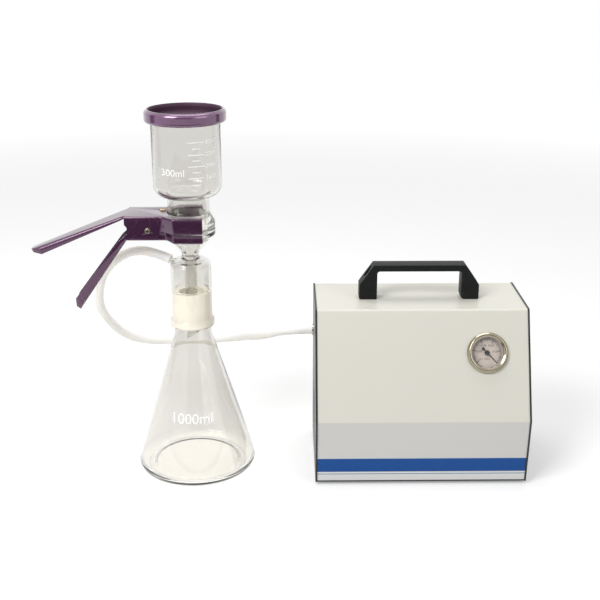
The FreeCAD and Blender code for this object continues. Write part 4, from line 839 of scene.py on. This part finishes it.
def words(name, text, x, z, height, align="LEFT"):
    """Flat upright print, with its middle at a height and its left end or middle at x."""
    curve = bpy.data.curves.new(name, "FONT")
    curve.body = text
    curve.size = height * MM * FONT_SIZE
    curve.align_x = align
    curve.align_y = "CENTER"
    curve.resolution_u = 4
    piece = bpy.data.objects.new(name, curve)
    bpy.context.collection.objects.link(piece)
    piece.location = (x * MM, IN_FRONT, z * MM)
    piece.rotation_euler = (math.pi / 2, 0, 0)
    take(piece)
    bpy.ops.object.convert(target="MESH")
    piece = bpy.context.object
    settle(piece)
    bpy.ops.object.mode_set(mode="EDIT")
    bpy.ops.mesh.select_all(action="SELECT")
    bpy.ops.mesh.remove_doubles(threshold=0.000001)
    bpy.ops.object.mode_set(mode="OBJECT")
    return piece


def joined(name, pieces):
    """Joins pieces into the first of them."""
    deselect_all()
    for piece in pieces:
        piece.select_set(True)
    bpy.context.view_layer.objects.active = pieces[0]
    bpy.ops.object.join()
    pieces[0].name = name
    return pieces[0]


def wrap_on(piece, target):
    """Presses flat marks on to a round wall from the front, and thickens them a little."""
    wrap = piece.modifiers.new("wrap", "SHRINKWRAP")
    wrap.target = target
    wrap.wrap_method = "PROJECT"
    wrap.use_project_x = False
    wrap.use_project_y = True
    wrap.use_project_z = False
    wrap.use_positive_direction = True
    wrap.use_negative_direction = False
    wrap.offset = MARK_LIFT
    layer = piece.modifiers.new("layer", "SOLIDIFY")
    layer.thickness = MARK_LAYER
    layer.offset = 0
    apply_modifiers(piece)
    tidy_shell(piece)


NUMBERED_MARKS = [(381.6, "300"), (368.9, "250"), (356.9, "200"), (344.8, "150")]
SHORT_MARKS = [375.2, 362.9, 350.8, 337.8]
NUMBERED_ENDS = (5.2, 21.1)     # left and right end of a mark, mm
SHORT_ENDS = (9.2, 17.3)


def fire_on(marks, vessel):
    wrap_on(marks, vessel)
    dress(marks, WHITE_INK)
    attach(marks, "unit")


def make_funnel_marks():
    pieces = []
    for height, label in NUMBERED_MARKS:
        pieces.append(bar(*NUMBERED_ENDS, height))
        pieces.append(words("number", label, 21.8, height, 4.6))
    for height in SHORT_MARKS:
        pieces.append(bar(*SHORT_ENDS, height))
    pieces.append(words("capacity", "300ml", -11.5, 350.0, 7.4, "CENTER"))
    fire_on(joined("funnel_marks", pieces), funnel_glass)


def make_flask_marks():
    fire_on(words("flask_marks", "1000ml", -0.5, 76.5, 11.5, "CENTER"), flask_glass)


make_funnel_marks()
make_flask_marks()


# ================================================================ gauge dial

INK = 0.06                      # thickness of the print, mm
SLOPE_RUN = 50.0                # of the case's sloping face, mm
SLOPE_RISE = 112.9
SLOPE_TOP = (-13.0, 192.4)      # y and z
GAUGE_X = 324.8
GAUGE_REACH = 47.7              # from the slope's top down to the gauge's middle
GAUGE_TILT = math.atan2(SLOPE_RISE, SLOPE_RUN)
GAUGE_DOWN = GAUGE_REACH / math.hypot(SLOPE_RUN, SLOPE_RISE)
GAUGE_MIDDLE = Vector((GAUGE_X, SLOPE_TOP[0] - SLOPE_RUN * GAUGE_DOWN,
                       SLOPE_TOP[1] - SLOPE_RISE * GAUGE_DOWN)) * MM
PRINT_HEIGHT = -3.68            # of the dial's print, below the case's face

DIAL_START = -46.0              # of the scale's 0, degrees
DIAL_SWEEP = 270.0
DIAL_STEPS = 50
DIAL_LABELS = ["0", "-0.02", "-0.04", "-0.06", "-0.08", "-0.1"]
TICK_END = 15.6
LONG_TICK = (11.8, 0.8)         # inner radius and width, mm
MIDDLE_TICK = (12.8, 0.55)
SHORT_TICK = (13.8, 0.36)
LABEL_RADIUS = 9.0
END_LABEL_RADIUS = 9.6
RING = (15.62, 15.98)


def on_gauge(piece, height):
    """Moves a piece made flat about the origin on to the gauge's sloping face."""
    turn = Matrix.Rotation(GAUGE_TILT, 4, "X")
    piece.matrix_world = (Matrix.Translation(GAUGE_MIDDLE) @ turn @
                          Matrix.Translation((0, 0, height * MM)) @ piece.matrix_world)
    settle(piece)


def dial_tick(angle, inner, width):
    """A printed line: a flat strip, extruded by the thickness of the ink."""
    deselect_all()
    middle = ((inner + TICK_END) / 2 * MM, 0, -INK * MM / 2)
    bpy.ops.mesh.primitive_plane_add(size=1, location=middle)
    piece = bpy.context.object
    bpy.ops.object.mode_set(mode="EDIT")
    bpy.ops.mesh.select_all(action="SELECT")
    bpy.ops.transform.resize(value=((TICK_END - inner) * MM, width * MM, 1))
    bpy.ops.mesh.extrude_region_move(TRANSFORM_OT_translate={"value": (0, 0, INK * MM)})
    bpy.ops.mesh.select_all(action="SELECT")
    bpy.ops.mesh.normals_make_consistent(inside=False)
    bpy.ops.object.mode_set(mode="OBJECT")
    settle(piece)
    piece.rotation_euler = (0, 0, math.radians(angle))
    settle(piece)
    return piece


def flat_words(text, x, y, height):
    """Print for the dial, with a little thickness."""
    curve = bpy.data.curves.new("dial_words", "FONT")
    curve.body = text
    curve.size = height * MM * FONT_SIZE
    curve.align_x = "CENTER"
    curve.align_y = "CENTER"
    curve.resolution_u = 3
    curve.extrude = 0.00003
    piece = bpy.data.objects.new("dial_words", curve)
    bpy.context.collection.objects.link(piece)
    piece.location = (x * MM, y * MM, 0)
    take(piece)
    bpy.ops.object.convert(target="MESH")
    piece = bpy.context.object
    settle(piece)
    return piece


def make_dial_print():
    """A sweep of three quarters of a turn: 0 at the lower right, back round to -0.1."""
    pieces = []
    for index in range(DIAL_STEPS + 1):
        angle = DIAL_START + DIAL_SWEEP * index / DIAL_STEPS
        if index % 10 == 0:
            pieces.append(dial_tick(angle, *LONG_TICK))
        elif index % 5 == 0:
            pieces.append(dial_tick(angle, *MIDDLE_TICK))
        else:
            pieces.append(dial_tick(angle, *SHORT_TICK))
    last = len(DIAL_LABELS) - 1
    for index, label in enumerate(DIAL_LABELS):
        angle = math.radians(DIAL_START + DIAL_SWEEP * index / last)
        radius = END_LABEL_RADIUS if index in (0, last) else LABEL_RADIUS
        pieces.append(flat_words(label, radius * math.cos(angle), radius * math.sin(angle), 2.4))
    pieces.append(flat_words("MPa", 0, -6.6, 2.6))
    pieces.append(lathe("dial_ring", [
        (RING[0], -INK / 2, 0),
        (RING[1], -INK / 2, 0),
        (RING[1], INK / 2, 0),
        (RING[0], INK / 2, 0),
    ], turns=96))
    marks = joined("dial_print", pieces)
    on_gauge(marks, PRINT_HEIGHT)
    dress(marks, DIAL_INK)
    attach(marks, "unit")


make_dial_print()


# ================================================================ studio

FLOOR_RADIUS = 40               # m
WHITE_FROM = (0.7, 2.2)         # the floor fades to plain white between these reaches, m
FLOOR_PAPER = (0.86, 0.86, 0.86, 1)
FLOOR_BOUNCE = (0.45, 0.45, 0.45, 1)    # the shade that only lights the object's underside
FLOOR_LIFT = 0.30
SKY_LIGHT = 0.34


def seen_directly(tree):
    """1 for rays from the camera, off a shiny skin or through glass, and 0 for the others."""
    rays = tree.nodes.new("ShaderNodeLightPath")
    seen = add_node(tree, "ShaderNodeMath", operation="MAXIMUM")
    seen_more = add_node(tree, "ShaderNodeMath", operation="MAXIMUM")
    tree.links.new(rays.outputs["Is Camera Ray"], seen.inputs[0])
    tree.links.new(rays.outputs["Is Glossy Ray"], seen.inputs[1])
    tree.links.new(seen.outputs[0], seen_more.inputs[0])
    tree.links.new(rays.outputs["Is Transmission Ray"], seen_more.inputs[1])
    return seen_more.outputs[0]


def make_floor():
    """A plain pale floor that keeps the shadow near the object and is white far off."""
    deselect_all()
    bpy.ops.mesh.primitive_circle_add(vertices=96, radius=FLOOR_RADIUS, fill_type="NGON",
                                      location=(0, 0, 0))
    floor = bpy.context.object
    floor.name = "studio_floor"
    settle(floor)
    material = bpy.data.materials.new("studio_floor")
    material.use_nodes = True
    tree = material.node_tree
    tree.nodes.clear()
    place = tree.nodes.new("ShaderNodeTexCoord")
    length = add_node(tree, "ShaderNodeVectorMath", operation="LENGTH")
    far = add_node(tree, "ShaderNodeMapRange")
    far.inputs["From Min"].default_value = WHITE_FROM[0]
    far.inputs["From Max"].default_value = WHITE_FROM[1]
    paper = tree.nodes.new("ShaderNodeBsdfDiffuse")
    paper.inputs["Color"].default_value = FLOOR_PAPER
    bounce = tree.nodes.new("ShaderNodeBsdfDiffuse")
    bounce.inputs["Color"].default_value = FLOOR_BOUNCE
    lift = tree.nodes.new("ShaderNodeEmission")
    lift.inputs["Strength"].default_value = FLOOR_LIFT
    bare = tree.nodes.new("ShaderNodeEmission")
    bare.inputs["Strength"].default_value = 1.0
    near = tree.nodes.new("ShaderNodeAddShader")
    blend = tree.nodes.new("ShaderNodeMixShader")
    choose = tree.nodes.new("ShaderNodeMixShader")
    output = tree.nodes.new("ShaderNodeOutputMaterial")
    link = tree.links.new
    link(place.outputs["Object"], length.inputs[0])
    link(length.outputs["Value"], far.inputs["Value"])
    link(paper.outputs[0], near.inputs[0])
    link(lift.outputs[0], near.inputs[1])
    link(far.outputs[0], blend.inputs[0])
    link(near.outputs[0], blend.inputs[1])
    link(bare.outputs[0], blend.inputs[2])
    link(seen_directly(tree), choose.inputs[0])
    link(bounce.outputs[0], choose.inputs[1])
    link(blend.outputs[0], choose.inputs[2])
    link(choose.outputs[0], output.inputs["Surface"])
    floor.data.materials.append(material)


def make_sky():
    """White where it is looked at, and a soft light elsewhere."""
    world = bpy.data.worlds.new("studio_sky")
    bpy.context.scene.world = world
    world.use_nodes = True
    tree = world.node_tree
    tree.nodes.clear()
    plain = tree.nodes.new("ShaderNodeBackground")
    plain.inputs["Strength"].default_value = SKY_LIGHT
    shown = tree.nodes.new("ShaderNodeBackground")
    shown.inputs["Color"].default_value = (1, 1, 1, 1)
    shown.inputs["Strength"].default_value = 1.0
    blend = tree.nodes.new("ShaderNodeMixShader")
    output = tree.nodes.new("ShaderNodeOutputWorld")
    link = tree.links.new
    link(seen_directly(tree), blend.inputs[0])
    link(plain.outputs[0], blend.inputs[1])
    link(shown.outputs[0], blend.inputs[2])
    link(blend.outputs[0], output.inputs["Surface"])


def add_lamp(name, place, aim, size, power):
    """A rectangular lamp that faces a point, with its power in watts."""
    lamp = bpy.data.lights.new(name, "AREA")
    lamp.shape = "RECTANGLE"
    lamp.size = size[0]
    lamp.size_y = size[1]
    lamp.energy = power
    holder = bpy.data.objects.new(name, lamp)
    holder.location = place
    holder.rotation_euler = (Vector(aim) - Vector(place)).to_track_quat("-Z", "Y").to_euler()
    bpy.context.collection.objects.link(holder)


def add_card(name, place, aim, size, shade):
    """A dark card outside the view, which only shows as a reflection."""
    deselect_all()
    bpy.ops.mesh.primitive_plane_add(size=1, location=(0, 0, 0))
    card = bpy.context.object
    card.name = name
    card.scale = (size[0], size[1], 1)
    settle(card)
    card.rotation_euler = (Vector(aim) - Vector(place)).to_track_quat("-Z", "Y").to_euler()
    card.location = place
    settle(card)
    material = bpy.data.materials.new(name)
    material.use_nodes = True
    shader = material.node_tree.nodes["Principled BSDF"]
    shader.inputs["Base Color"].default_value = shade
    shader.inputs["Roughness"].default_value = 1.0
    card.data.materials.append(material)
    card.visible_camera = False
    card.visible_diffuse = False
    card.visible_transmission = False
    card.visible_shadow = False


DARK_CARD = (0.03, 0.03, 0.035, 1)
GREY_CARD = (0.16, 0.15, 0.135, 1)

make_floor()
make_sky()
add_lamp("key_softbox", (-1.1, -1.3, 1.7), (0.1, 0, 0.15), (1.1, 1.1), 34)
add_lamp("fill_softbox", (1.6, -1.2, 1.1), (0.15, 0, 0.15), (1.2, 1.2), 8)
add_lamp("top_softbox", (0.1, 0.5, 2.0), (0.1, 0, 0.1), (1.4, 1.0), 14)
add_card("left_card", (-1.5, 0.15, 0.5), (0, 0, 0.25), (0.5, 1.4), GREY_CARD)
add_card("right_card", (2.0, 0.6, 0.5), (0, 0, 0.25), (0.5, 1.4), GREY_CARD)
add_card("front_card", (0.1, -2.4, 0.75), (0.1, 0, 0.25), (2.2, 1.1), DARK_CARD)
add_card("low_card", (0.1, -1.1, 0.015), (0.1, -1.1, 1.0), (2.4, 1.2), DARK_CARD)

bpy.context.scene.view_settings.view_transform = "Standard"
